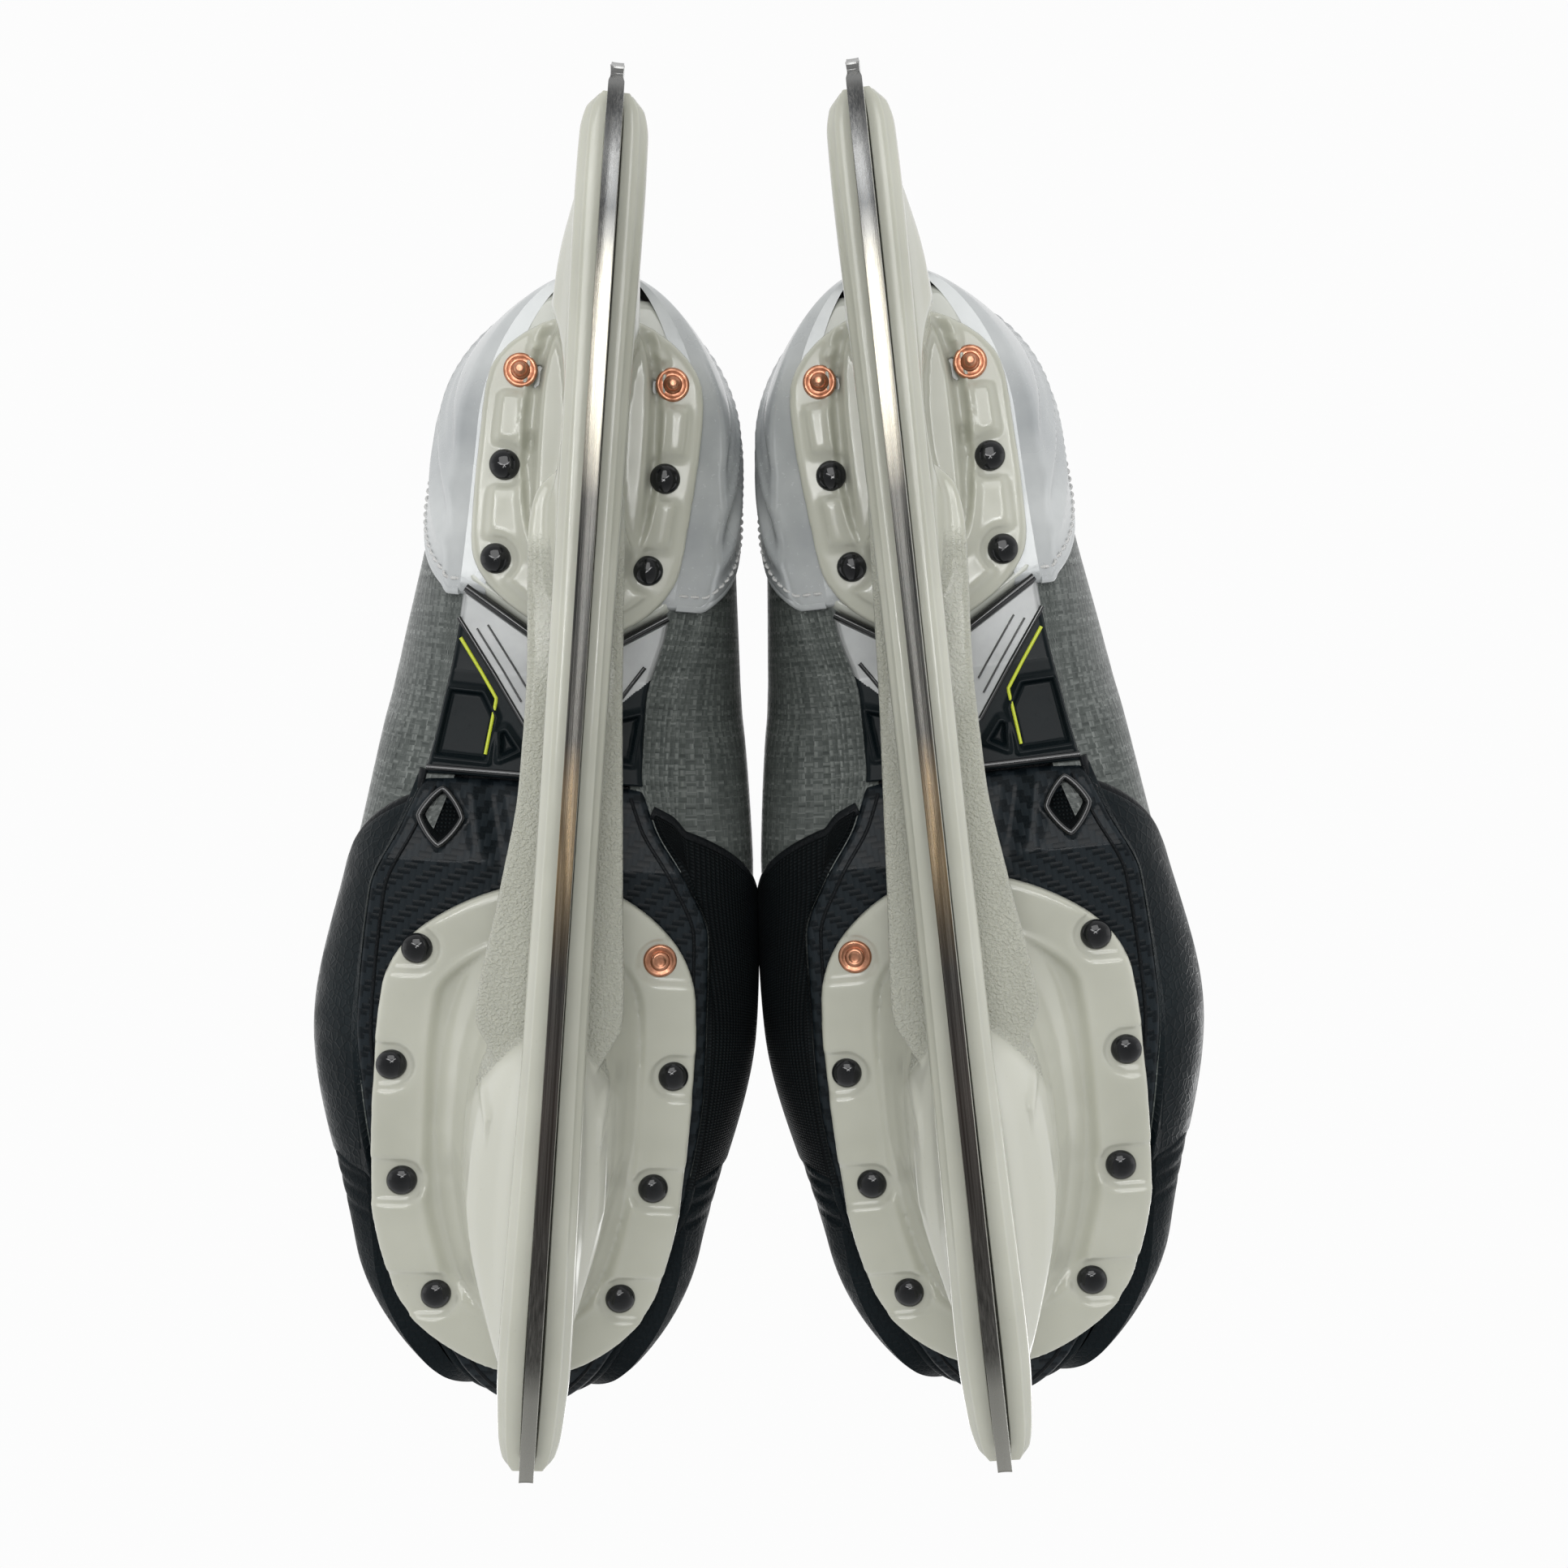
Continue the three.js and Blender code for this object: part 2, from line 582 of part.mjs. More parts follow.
function makeHolder() {
  const widthShares = (shares, width) => shares.map(([station, share]) => [station, share * width]);
  const frontOuter = [[0, 0.36], [0.16, 0.46], [0.38, 0.55], [0.64, 0.56], [0.86, 0.53], [1, 0.46]];
  const frontInner = [[0, 0.3], [0.16, 0.37], [0.38, 0.43], [0.64, 0.44], [0.86, 0.41], [1, 0.36]];
  const frontPlate = flange(
    frontFlangeStart,
    frontFlangeLength,
    widthShares(frontOuter, frontFlangeWidth),
    widthShares(frontInner, frontFlangeWidth),
    frontFlangeTop,
    26,
    22,
  );
  const rearPlate = flange(
    rearFlangeStart,
    rearFlangeLength,
    widthShares([[0, 0.42], [0.3, 0.52], [0.7, 0.5], [1, 0.42]], rearFlangeWidth),
    widthShares([[0, 0.36], [0.3, 0.42], [0.7, 0.46], [1, 0.4]], rearFlangeWidth),
    rearFlangeTop,
    16,
    18,
  );

  const frontMiddle = (frontFlangeStart + frontFlangeEnd) / 2 - 6;
  const frontLower = { x: [-8, 8], y: [holderFront + 12, holderFront + 88], z: railTop - 8, corner: 4 };
  const frontUpper = {
    x: [-0.2 * frontFlangeWidth, 0.25 * frontFlangeWidth],
    y: [frontMiddle - 44, frontMiddle + 40],
    z: frontFlangeTop - 1,
    corner: 10,
  };
  const shrink = ({ x, y, z, corner }, by, lift) => ({
    x: [x[0] + by, x[1] - by],
    y: [y[0] + by, y[1] - by],
    z: z + lift,
    corner: Math.max(corner - by / 2, 1),
  });
  const frontTower = tower(frontLower, frontUpper);
  const frontHollow = tower(shrink(frontLower, pedestalWall + 1, 12), shrink(frontUpper, pedestalWall, 3));

  const rearLower = {
    x: [-8, 8],
    y: [rearFlangeStart + 16, rearFlangeEnd + 20],
    z: railTop - 8,
    corner: 3,
  };
  const rearUpper = {
    x: [-0.26 * rearFlangeWidth, 0.28 * rearFlangeWidth],
    y: [rearFlangeStart + 14, rearFlangeEnd - 1],
    z: rearFlangeTop - 1,
    corner: 5,
  };
  const rearTower = tower(rearLower, rearUpper);

  const bridgeFront = frontLower.y[1] - 14;
  const bridgeRear = rearLower.y[0] + 14;
  const bridgeRing = (y, width) => [
    new THREE.Vector3(width * 0.53, y, railTop - 1),
    new THREE.Vector3(width * 0.53, y, railTop - 1 + bridgeThickness),
    new THREE.Vector3(-width * 0.47, y, railTop - 1 + bridgeThickness),
    new THREE.Vector3(-width * 0.47, y, railTop - 1),
  ];
  const bridge = loft([bridgeRing(bridgeFront, bridgeFrontWidth), bridgeRing(bridgeRear, bridgeRearWidth)]);

  const whole = rail().add(frontPlate).add(rearPlate).add(frontTower).add(rearTower).add(bridge);
  const channelHalf = runnerThickness / 2 + slideGap;
  const channelReach = [runnerFront - slideGap, holderRear + 5];
  const channel = boxSolid([-channelHalf, channelHalf], channelReach, [-5, channelTop]);
  const window = boxSolid([-cutReach, cutReach], windowRange.y, windowRange.z);
  const slotHeight = [channelTop - 1, windowRange.z[1]];
  const slot = boxSolid([-slotHalf, slotHalf], [windowRear - 1, slotRear], slotHeight);
  const pinHole = new THREE.CylinderGeometry(pinRadius + gap, pinRadius + gap, 2 * pinReach + 2 * gap, 6);
  pinHole.rotateZ(Math.PI / 2);
  pinHole.translate(0, pinY, pinZ);
  const moulding = drillRivetHoles(clearRivetHeads(whole.subtract(frontHollow)))
    .subtract(channel)
    .subtract(window)
    .subtract(slot)
    .subtract(solidFromGeometry(pinHole));

  // One moulding, kept as two solids that meet behind the front flange.
  const split = frontFlangeEnd + flangeToSplit;
  return {
    front: moulding.trimByPlane([0, -1, 0], gap / 2 - split),
    rear: moulding.trimByPlane([0, 1, 0], gap / 2 + split),
  };
}

function makeRunner() {
  const flatFront = runnerMiddle + 5 - runnerFlatLength / 2;
  const flatRear = flatFront + runnerFlatLength;
  const hiddenTop = runnerShown + runnerHidden;
  const frontReach = flatFront - runnerFront;
  const rearReach = runnerRear - flatRear;
  const sweep = (start, reach, direction, share) => {
    return [start + direction * reach * share, runnerTipRise * share ** 2.4];
  };
  const outline = [
    sweep(flatFront, frontReach, -1, 1),
    sweep(flatFront, frontReach, -1, 0.8),
    sweep(flatFront, frontReach, -1, 0.5),
    [flatFront, 0],
    [flatRear, 0],
    sweep(flatRear, rearReach, 1, 0.5),
    sweep(flatRear, rearReach, 1, 0.8),
    sweep(flatRear, rearReach, 1, 1),
    [runnerRear, runnerTipRise + 6],
    [runnerRear - 8, runnerShown + 2],
    [runnerRear - 12, hiddenTop],
    [runnerFront + 9, hiddenTop],
    [runnerFront + 2, runnerShown + 3],
    [runnerFront, runnerShown],
  ];
  return sideSolid(outline, -runnerThickness / 2, runnerThickness / 2);
}

function makeRelease() {
  const hubRadius = 4;
  const arcPoints = (centreY, centreZ, radius, from, to, steps) => {
    const points = [];
    for (let step = 0; step <= steps; step += 1) {
      const angle = THREE.MathUtils.degToRad(THREE.MathUtils.lerp(from, to, step / steps));
      points.push([centreY + radius * Math.cos(angle), centreZ + radius * Math.sin(angle)]);
    }
    return points;
  };
  const noseBottom = channelTop + 0.6;
  const leverSide = [
    ...arcPoints(pinY, pinZ, hubRadius, -60, 120, 6),
    [pinY - 18, pinZ + 3],
    [pinY - 19, pinZ - 1],
    [pinY - 5, pinZ - 3.5],
    [pinY - 3, noseBottom],
    [pinY + 2, noseBottom],
  ];
  const pinBore = new THREE.CylinderGeometry(pinRadius + gap, pinRadius + gap, 2 * cutReach, 6);
  pinBore.rotateZ(Math.PI / 2);
  pinBore.translate(0, pinY, pinZ);
  const lever = sideSolid(leverSide, -triggerWidth / 2, triggerWidth / 2);
  const trigger = lever.subtract(solidFromGeometry(pinBore));

  const pinShape = new THREE.CylinderGeometry(pinRadius, pinRadius, 2 * pinReach, 8);
  pinShape.rotateZ(Math.PI / 2);
  pinShape.translate(0, pinY, pinZ);

  const springFoot = 5.6; // behind the pin
  const springSide = [
    ...arcPoints(pinY + springFoot - 14, pinZ, 14, -28, 28, 6),
    ...arcPoints(pinY + springFoot - 14, pinZ, 14 + springThickness, 28, -28, 6),
  ];
  const spring = sideSolid(springSide, -triggerWidth / 2 + 0.5, triggerWidth / 2 - 0.5);
  return { trigger, pin: solidFromGeometry(pinShape), spring };
}

// --- Finishes ---

function finish(color, roughness, metalness = 0) {
  return new THREE.MeshStandardMaterial({ color, roughness, metalness });
}
const finishes = {
  steel: finish("#8d8f92", 0.15, 1),
  holder: finish("#d7dacd", 0.25),
  blackPlastic: finish("#17191c", 0.3),
  blackSteel: finish("#0c0d0f", 0.15, 0.4),
  copper: finish("#c07858", 0.3, 1),
  carbon: finish("#23272d", 0.25),
  heelWhite: finish("#e6e7e4", 0.2),
  pearl: finish("#d8d8da", 0.3),
  composite: finish("#8f9391", 0.35),
  toeRubber: finish("#101214", 0.5),
  felt: finish("#3b3d40", 0.9),
  guard: finish("#1b1d20", 0.5),
  foam: finish("#26282b", 0.85),
};

function makeSkate() {
  const boot = makeBoot();
  const plates = makePlates();
  const release = makeRelease();
  const holder = makeHolder();
  const pieces = [
    ["runner", makeRunner(), finishes.steel],
    ["front_holder", holder.front, finishes.holder],
    ["rear_holder", holder.rear, finishes.holder],
    ["release_trigger", release.trigger, finishes.blackPlastic],
    ["trigger_pin", release.pin, finishes.steel],
    ["trigger_spring", release.spring, finishes.steel],
    ["outsole", plates.outsole, finishes.carbon],
    ["midfoot_panel", plates.shankPanel, finishes.blackPlastic],
    ["heel_plate", plates.heelPlate, finishes.heelWhite],
    ["quarter_shell", boot.quarter, finishes.composite],
    ["heel_counter", boot.heelCounter, finishes.pearl],
    ["toe_cap", boot.toeCap, finishes.toeRubber],
    ["tongue", boot.tongue, finishes.felt],
    ["tendon_guard", boot.tendonGuard, finishes.guard],
    ["liner", boot.liner, finishes.foam],
    ["footbed", boot.footbed, finishes.foam],
  ];
  for (const rivet of rivets) {
    const metal = rivet.metal === "copper" ? finishes.copper : finishes.blackSteel;
    pieces.push([rivet.name, makeRivet(rivet), metal]);
  }
  return pieces.map(([name, solid, material]) => ({ name, geometry: geometryFromSolid(solid), material }));
}

// --- Pair ---

const skate = makeSkate();
const pair = new THREE.Group();
for (const [sideName, side] of [["left", 1], ["right", -1]]) {
  const foot = new THREE.Group();
  foot.scale.x = side;
  const stance = new THREE.Group();
  stance.position.x = bladeSpacing / 2;
  stance.rotation.z = THREE.MathUtils.degToRad(toeOutAngle);
  const lean = new THREE.Group();
  lean.rotation.y = THREE.MathUtils.degToRad(leanAngle);
  for (const { name, geometry, material } of skate) {
    const mesh = new THREE.Mesh(geometry, material);
    mesh.name = `${sideName}_${name}`;
    lean.add(mesh);
  }
  stance.add(lean);
  foot.add(stance);
  pair.add(foot);
}

// The origin is the middle of the pair's underside.
const extent = new THREE.Box3().setFromObject(pair, true);
const middle = extent.getCenter(new THREE.Vector3());
pair.position.set(0, -middle.y, -extent.min.z);
pair.updateMatrixWorld(true);

export default pair;
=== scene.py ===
import json
import math

import bmesh
import bpy
import numpy as np
from mathutils import Matrix, Vector


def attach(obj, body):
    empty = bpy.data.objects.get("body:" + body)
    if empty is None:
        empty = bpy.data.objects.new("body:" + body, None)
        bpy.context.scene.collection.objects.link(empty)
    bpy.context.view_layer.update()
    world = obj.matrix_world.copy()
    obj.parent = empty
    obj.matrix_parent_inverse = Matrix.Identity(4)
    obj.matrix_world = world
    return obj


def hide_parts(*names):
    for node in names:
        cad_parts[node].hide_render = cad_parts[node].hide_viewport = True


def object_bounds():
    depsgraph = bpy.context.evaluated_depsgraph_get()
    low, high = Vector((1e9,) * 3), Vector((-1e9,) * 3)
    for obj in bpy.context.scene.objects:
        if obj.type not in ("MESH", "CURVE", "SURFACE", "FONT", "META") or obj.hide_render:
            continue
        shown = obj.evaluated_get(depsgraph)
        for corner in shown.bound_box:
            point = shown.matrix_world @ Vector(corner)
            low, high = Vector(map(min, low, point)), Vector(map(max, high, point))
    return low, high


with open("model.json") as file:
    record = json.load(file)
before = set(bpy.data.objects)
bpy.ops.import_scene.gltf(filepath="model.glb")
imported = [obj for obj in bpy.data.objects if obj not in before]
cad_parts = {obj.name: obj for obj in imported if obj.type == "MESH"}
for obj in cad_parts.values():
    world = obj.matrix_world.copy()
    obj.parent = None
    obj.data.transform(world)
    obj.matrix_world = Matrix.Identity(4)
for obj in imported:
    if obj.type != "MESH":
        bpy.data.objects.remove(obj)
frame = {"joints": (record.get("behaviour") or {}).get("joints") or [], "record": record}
cad_low, cad_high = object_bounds()
record = frame["record"]
scene = bpy.context.scene

# --- The skate's own frame, in millimetres: x outward, y to the heel, z up from the ice ---

mount = next(m for m in record["mounts"] if m["name"] == "left_blade_face")
hinge = next(j for j in frame["joints"] if j["name"] == "left_runner_drop")
AXIS_Z = -np.array(mount["axis"], float)
AXIS_Z /= np.linalg.norm(AXIS_Z)
AXIS_X = -np.array(hinge["axis"], float)
AXIS_X -= AXIS_Z * (AXIS_X @ AXIS_Z)
AXIS_X /= np.linalg.norm(AXIS_X)
AXIS_Y = np.cross(AXIS_Z, AXIS_X)
FACE_Y = 6.0  # the blade face's middle, along y
ORIGIN = np.array(mount["pos_m"], float) - AXIS_Y * FACE_Y * 0.001
BASIS = np.stack([AXIS_X, AXIS_Y, AXIS_Z])


def to_row(points):
    return ORIGIN + (np.asarray(points, float) * 0.001) @ BASIS


# --- Sizes of the skate ---

TOE, HEEL = -152.0, 115.0
LENGTH = HEEL - TOE
WIDTH = 110.0
FLANGE_FRONT = (-140.0, -22.0)
FLANGE_REAR = (33.0, 106.0)
SOLE = 3.0
FLOOR_GAP = 3.3
FRONT_HEIGHT, HEEL_RISE, TOE_SPRING = 55, 15, 4  # of the sole, over the ice
TOP_FRONT, TOP_REAR, FLANGE_THICK = 54.7, 69.7, 2.3  # the flanges' upper faces and thickness


def curve(table):
    """Monotone cubic through (x, y) pairs."""
    xs, ys = np.array(table, float).T
    h = np.diff(xs)
    d = np.diff(ys) / h
    m = np.zeros(len(xs))
    m[1:-1] = np.where(d[:-1] * d[1:] > 0, 2 * d[:-1] * d[1:] / (d[:-1] + d[1:] + 1e-12), 0)
    m[0], m[-1] = d[0], d[-1]

    def at(x):
        x = np.clip(np.asarray(x, float), xs[0], xs[-1])
        i = np.clip(np.searchsorted(xs, x) - 1, 0, len(h) - 1)
        t = (x - xs[i]) / h[i]
        a = (1 + 2 * t) * (1 - t) ** 2
        b = t * (1 - t) ** 2
        c = t * t * (3 - 2 * t)
        e = t * t * (t - 1)
        return a * ys[i] + b * h[i] * m[i] + c * ys[i + 1] + e * h[i] * m[i + 1]

    return at


def smooth(low, high, x):
    t = np.clip((x - low) / (high - low), 0, 1)
    return t * t * (3 - 2 * t)


WIDE = {
    1: curve([(0, 0.31), (0.15, 0.41), (0.34, 0.518), (0.49, 0.462), (0.64, 0.42), (0.79, 0.358), (1, 0.30)]),
    -1: curve([(0, 0.285), (0.15, 0.345), (0.34, 0.43), (0.49, 0.41), (0.64, 0.372), (0.79, 0.326),
               (1, 0.27)]),
}
FOOT = {
    1: curve([(0, 0.29), (0.15, 0.35), (0.34, 0.405), (0.49, 0.35), (0.6, 0.295), (0.79, 0.288), (1, 0.245)]),
    -1: curve([(0, 0.26), (0.15, 0.29), (0.34, 0.312), (0.49, 0.24), (0.6, 0.222), (0.79, 0.268), (1, 0.23)]),
}
TOP = curve([(0, 40), (0.08, 54), (0.25, 63), (0.42, 82), (0.5, 97), (0.56, 118), (0.6, 150), (0.63, 205),
             (1, 205)])
SQUARE = curve([(0, 2.2), (0.25, 1.9), (0.5, 1.75), (0.63, 2.6), (1, 3.2)])
HEEL_CURVE = curve([(0, 0), (40, 0), (95, 9), (150, 6), (205, 0)])
# Half widths of the plates under the boot, by y: full at the ball, narrow at the inner arch.
PLATE = {
    1: curve([(-152, 22), (-123, 28), (-100, 37.7), (-75, 43.5), (-56, 45.8), (-27, 44.4), (-12, 38.4),
              (1, 33.7),
              (18, 31), (36, 28.8), (87, 26), (115, 24.7)]),
    -1: curve([(-152, 20), (-122, 24.4), (-97, 32.5), (-71, 35), (-52, 34.3), (-34, 33.4), (-21, 27.2),
               (-9, 19.2),
               (3, 15.6), (18, 15.6), (35, 19.2), (62, 21.6), (84, 23), (115, 21)]),
}
UNDER = 10.0  # heights from -UNDER to 0 run across the underside, from the plate's edge to the boot's
SHOULDER = 30.0
TOE_ROUND, HEEL_ROUND = 38.0, 36.0


def round_end(distance, reach):
    return np.sqrt(np.clip(1 - (1 - np.clip(distance / reach, 0, 1)) ** 2, 0, 1))


def sole_line(y):
    y = np.asarray(y, float)
    front = FRONT_HEIGHT + TOE_SPRING * np.clip((-140 - y) / 12, 0, 1) ** 1.3
    ramp = HEEL_RISE * np.clip((y + 19) / 42, 0, 1)
    return front + ramp


def floor_line(y):
    return sole_line(y) + FLOOR_GAP


def boot_at(side, u):
    """At station u: the run from the toe, how far the ends are rounded in, the top's and the
    shoulder's heights, the half width and the power of the section's curve."""
    run = u * LENGTH
    toe = round_end(run, TOE_ROUND)
    ends = toe * round_end(LENGTH - run, HEEL_ROUND)
    top = TOP(u) * (0.55 + 0.45 * toe)
    shoulder = SHOULDER + (top / 2 - SHOULDER) * 0.25
    return run, ends, top, shoulder, WIDE[side](u) * WIDTH * ends, 2 / SQUARE(u)


def section(side, u, h):
    """A point of the boot's outside at station u and height h over the floor."""
    u, h = np.broadcast_arrays(np.asarray(u, float), np.asarray(h, float))
    run, ends, top, shoulder, wide, power = boot_at(side, u)
    foot = FOOT[side](u) * WIDTH * ends
    low = 1 - np.clip(1 - h / shoulder, 0, 1) ** 4.4
    up = np.clip((h - shoulder) / np.maximum(top - shoulder, 1e-3), 0, 1)
    high = np.clip(1 - up ** (2 / power), 0, 1) ** (power / 2)
    x = np.where(h <= shoulder, foot + (wide - foot) * low, wide * high)
    under = np.clip(-h / UNDER, 0, 1)
    x = np.where(h < 0, foot + (PLATE[side](TOE + run) * ends - foot) * under, x)
    back = smooth(0.6, 1.0, u)
    y = TOE + run - HEEL_CURVE(np.maximum(h, 0)) * back
    lift_toe = 10 * (1 - round_end(run, 12.0))
    z = floor_line(TOE + run) + lift_toe * (1 - under) + np.maximum(h, 0) - 1.7 * under
    return np.stack([side * x, y, z], -1)


def ring(u, t):
    """A point of the boot's whole ring at station u. t runs from the outer sole edge, 0, over the
    top to the inner sole edge, 1."""
    u, t = np.broadcast_arrays(np.asarray(u, float), np.asarray(t, float))
    out = np.zeros(u.shape + (3,))
    for side in (1, -1):
        _, _, top, shoulder, wide, power = boot_at(side, u)
        s = np.clip(t * 2 if side > 0 else (1 - t) * 2, 0, 1)
        angle = np.clip((s - 0.35) / 0.65, 0, 1) * math.pi / 2
        height = np.where(s < 0.35, shoulder * s / 0.35, shoulder + (top - shoulder) * np.sin(angle) ** power)
        point = section(side, u, height)
        point[..., 0] = np.where(s < 0.35, point[..., 0], side * wide * np.cos(angle) ** power)
        mask = (t <= 0.5) if side > 0 else (t > 0.5)
        out[mask] = point[mask]
    return out


# --- Mesh helpers ---


def grid_faces(rows, columns, flip=False, wrap=False):
    i, j = np.meshgrid(np.arange(rows - 1), np.arange(columns if wrap else columns - 1), indexing="ij")
    k = (j + 1) % columns
    a, b = i * columns + j, (i + 1) * columns + j
    c, d = (i + 1) * columns + k, i * columns + k
    quads = np.stack([a, b, c, d], -1).reshape(-1, 4)
    return quads[:, ::-1] if flip else quads


def grid_normals(points):
    du = np.gradient(points, axis=0)
    dv = np.gradient(points, axis=1)
    n = np.cross(du, dv)
    size = np.linalg.norm(n, axis=-1, keepdims=True)
    return n / np.maximum(size, 1e-9)


def outward(points, toward):
    """Normals of a grid, all turned so that on the whole they point toward the given direction."""
    n = grid_normals(points)
    return n if (n * np.asarray(toward, float)).sum() > 0 else -n


class Part:
    """Points in the skate's frame, faces with a material each, and named values on the points."""

    def __init__(self):
        self.points, self.faces, self.slots, self.uv = [], [], [], []
        self.values = []
        self.count = 0

    def add(self, points, faces, slot=0, uv=None, value=None):
        points = np.asarray(points, float).reshape(-1, 3)
        faces = np.asarray(faces) + self.count
        self.points.append(points)
        self.faces.append(faces)
        self.slots.append(np.full(len(faces), slot, np.int32))
        self.uv.append(points[:, :2] if uv is None else np.asarray(uv, float).reshape(-1, 2))
        self.values.append(np.zeros(len(points)) if value is None else np.asarray(value, float).ravel())
        self.count += len(points)

    def grid(self, points, slot=0, flip=False, wrap=False, uv=None, value=None):
        points = np.asarray(points, float)
        if uv is None:
            a = np.cumsum(np.r_[0, np.linalg.norm(np.diff(points.mean(1), axis=0), axis=1)])
            step = np.linalg.norm(np.diff(points, axis=1), axis=2)
            b = np.concatenate([np.zeros((len(points), 1)), np.cumsum(step, 1)], 1)
            uv = np.stack([np.broadcast_to(a[:, None], b.shape), b], -1)
        faces = grid_faces(points.shape[0], points.shape[1], flip, wrap)
        self.add(points, faces, slot, uv, value)


def mesh_of(name, points, faces, slots, uv, values, materials, flip):
    data = bpy.data.meshes.new(name)
    data.vertices.add(len(points))
    data.vertices.foreach_set("co", points.astype(np.float32).ravel())
    sizes = np.concatenate([np.full(len(f), f.shape[1], np.int32) for f in faces])
    loops = np.concatenate([(f[:, ::-1] if flip else f).ravel() for f in faces]).astype(np.int32)
    data.loops.add(len(loops))
    data.loops.foreach_set("vertex_index", loops)
    data.polygons.add(len(sizes))
    starts = np.r_[0, np.cumsum(sizes)[:-1]].astype(np.int32)
    data.polygons.foreach_set("loop_start", starts)
    data.polygons.foreach_set("loop_total", sizes)
    data.polygons.foreach_set("material_index", np.concatenate(slots))
    data.polygons.foreach_set("use_smooth", np.ones(len(sizes), bool))
    layer = data.uv_layers.new(name="mm")
    layer.data.foreach_set("uv", uv[loops].astype(np.float32).ravel())
    mark = data.attributes.new("mark", "FLOAT", "POINT")
    mark.data.foreach_set("value", values.astype(np.float32))
    for material in materials:
        data.materials.append(material)
    data.validate()
    data.update()
    return data


def build(name, part, materials, body="boot", replaces=(), sharp=None):
    """Makes the left piece and its mirror image, and puts each on its CAD body."""
    local = np.concatenate(part.points)
    uv = np.concatenate(part.uv)
    values = np.concatenate(part.values)
    for side_name, mirror in (("left", 1), ("right", -1)):
        points = to_row(local)
        points[:, 0] *= mirror
        data = mesh_of(f"{side_name}_{name}", points, part.faces, part.slots, uv, values, materials,
                       mirror < 0)
        place = data.attributes.new("place", "FLOAT_VECTOR", "POINT")
        place.data.foreach_set("vector", (local * 0.001).astype(np.float32).ravel())
        obj = bpy.data.objects.new(f"{side_name}_{name}_look", data)
        scene.collection.objects.link(obj)
        if sharp is not None:
            data.set_sharp_from_angle(angle=math.radians(sharp))
        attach(obj, f"{side_name}_{body}")
        if replaces:
            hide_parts(*[f"{side_name}_{node}" for node in replaces])


def border_steps(length, edge, count):
    """Positions from 0 to 1 along a side of that length, close together within edge of both ends."""
    near = np.array([0, 0.12, 0.3, 0.55, 1.0]) * min(edge / max(length, 1e-6), 0.4)
    inside = np.linspace(near[-1], 1 - near[-1], count)
    return np.r_[near[:-1], inside, 1 - near[:-1][::-1]]


def panel(part, place, corners, thick, edge=1.6, base=-0.3, slot=0, side=1, step=1.6):
    """A raised panel with rounded borders. corners gives the outline in the surface's own (a, b)
    as four polylines: bottom, top (same direction), left and right (both from bottom to top)."""
    bottom, top, left, right = [np.asarray(c, float) for c in corners]

    def run(line, t):
        d = np.r_[0, np.cumsum(np.linalg.norm(np.diff(line, axis=0), axis=1))]
        d = d / d[-1]
        return np.stack([np.interp(t, d, line[:, k]) for k in range(2)], -1)

    def size(line):
        pts = place(*run(line, np.linspace(0, 1, 40)).T)
        return np.linalg.norm(np.diff(pts, axis=0), axis=1).sum()

    long = max(size(bottom), size(top))
    tall = max(size(left), size(right))
    s = border_steps(long, edge, max(int(long / step), 3))
    t = border_steps(tall, edge, max(int(tall / step), 3))
    b, a = run(bottom, s), run(top, s)
    l, r = run(left, t), run(right, t)
    S, T = s[:, None, None], t[None, :, None]
    flat = (1 - T) * b[:, None] + T * a[:, None] + (1 - S) * l[None] + S * r[None]
    flat -= (1 - S) * (1 - T) * b[0] + S * (1 - T) * b[-1] + (1 - S) * T * a[0] + S * T * a[-1]
    points = place(flat[..., 0], flat[..., 1])
    normals = outward(points, [side, 0, 0.2])
    ds = np.minimum(s, 1 - s)[:, None] * long
    dt = np.minimum(t, 1 - t)[None, :] * tall
    rise = round_end(ds, edge) * round_end(dt, edge)
    points = points + normals * (base + (thick - base) * rise)[..., None]
    near = np.minimum(ds, dt) * np.ones_like(rise)
    uv = np.stack([np.broadcast_to(s[:, None] * long, rise.shape),
                   np.broadcast_to(t[None] * tall, rise.shape)], -1)
    part.grid(points, slot, side > 0, uv=uv, value=near)


def tube(part, line, radius, sides=8, slot=0, closed=False, flat=1.0, ups=None):
    """A round or flattened bead along a line of points."""
    line = np.asarray(line, float)
    if closed:
        tangent = np.roll(line, -1, 0) - np.roll(line, 1, 0)
    else:
        tangent = np.gradient(line, axis=0)
    tangent /= np.maximum(np.linalg.norm(tangent, axis=1, keepdims=True), 1e-9)
    if ups is None:
        ups = np.tile([0.31, 0.17, 0.93], (len(line), 1))
    across = np.cross(tangent, ups)
    across /= np.maximum(np.linalg.norm(across, axis=1, keepdims=True), 1e-9)
    up = np.cross(across, tangent)
    radius = np.broadcast_to(np.asarray(radius, float), (len(line),))
    angle = np.linspace(0, 2 * math.pi, sides, endpoint=False)
    rings = line[:, None] + radius[:, None, None] * (
        across[:, None] * np.cos(angle)[None, :, None] + flat * up[:, None] * np.sin(angle)[None, :, None]
    )
    if closed:
        rings = np.concatenate([rings, rings[:1]])
    part.grid(rings, slot, False, wrap=True)
    if not closed:
        part.add(rings[0], np.array([list(range(sides))]), slot)
        part.add(rings[-1], np.array([list(range(sides))[::-1]]), slot)


def resample(line, step):
    line = np.asarray(line, float)
    d = np.r_[0, np.cumsum(np.linalg.norm(np.diff(line, axis=0), axis=1))]
    n = max(int(round(d[-1] / step)), 2)
    t = np.linspace(0, d[-1], n + 1)
    return np.stack([np.interp(t, d, line[:, k]) for k in range(line.shape[1])], -1)


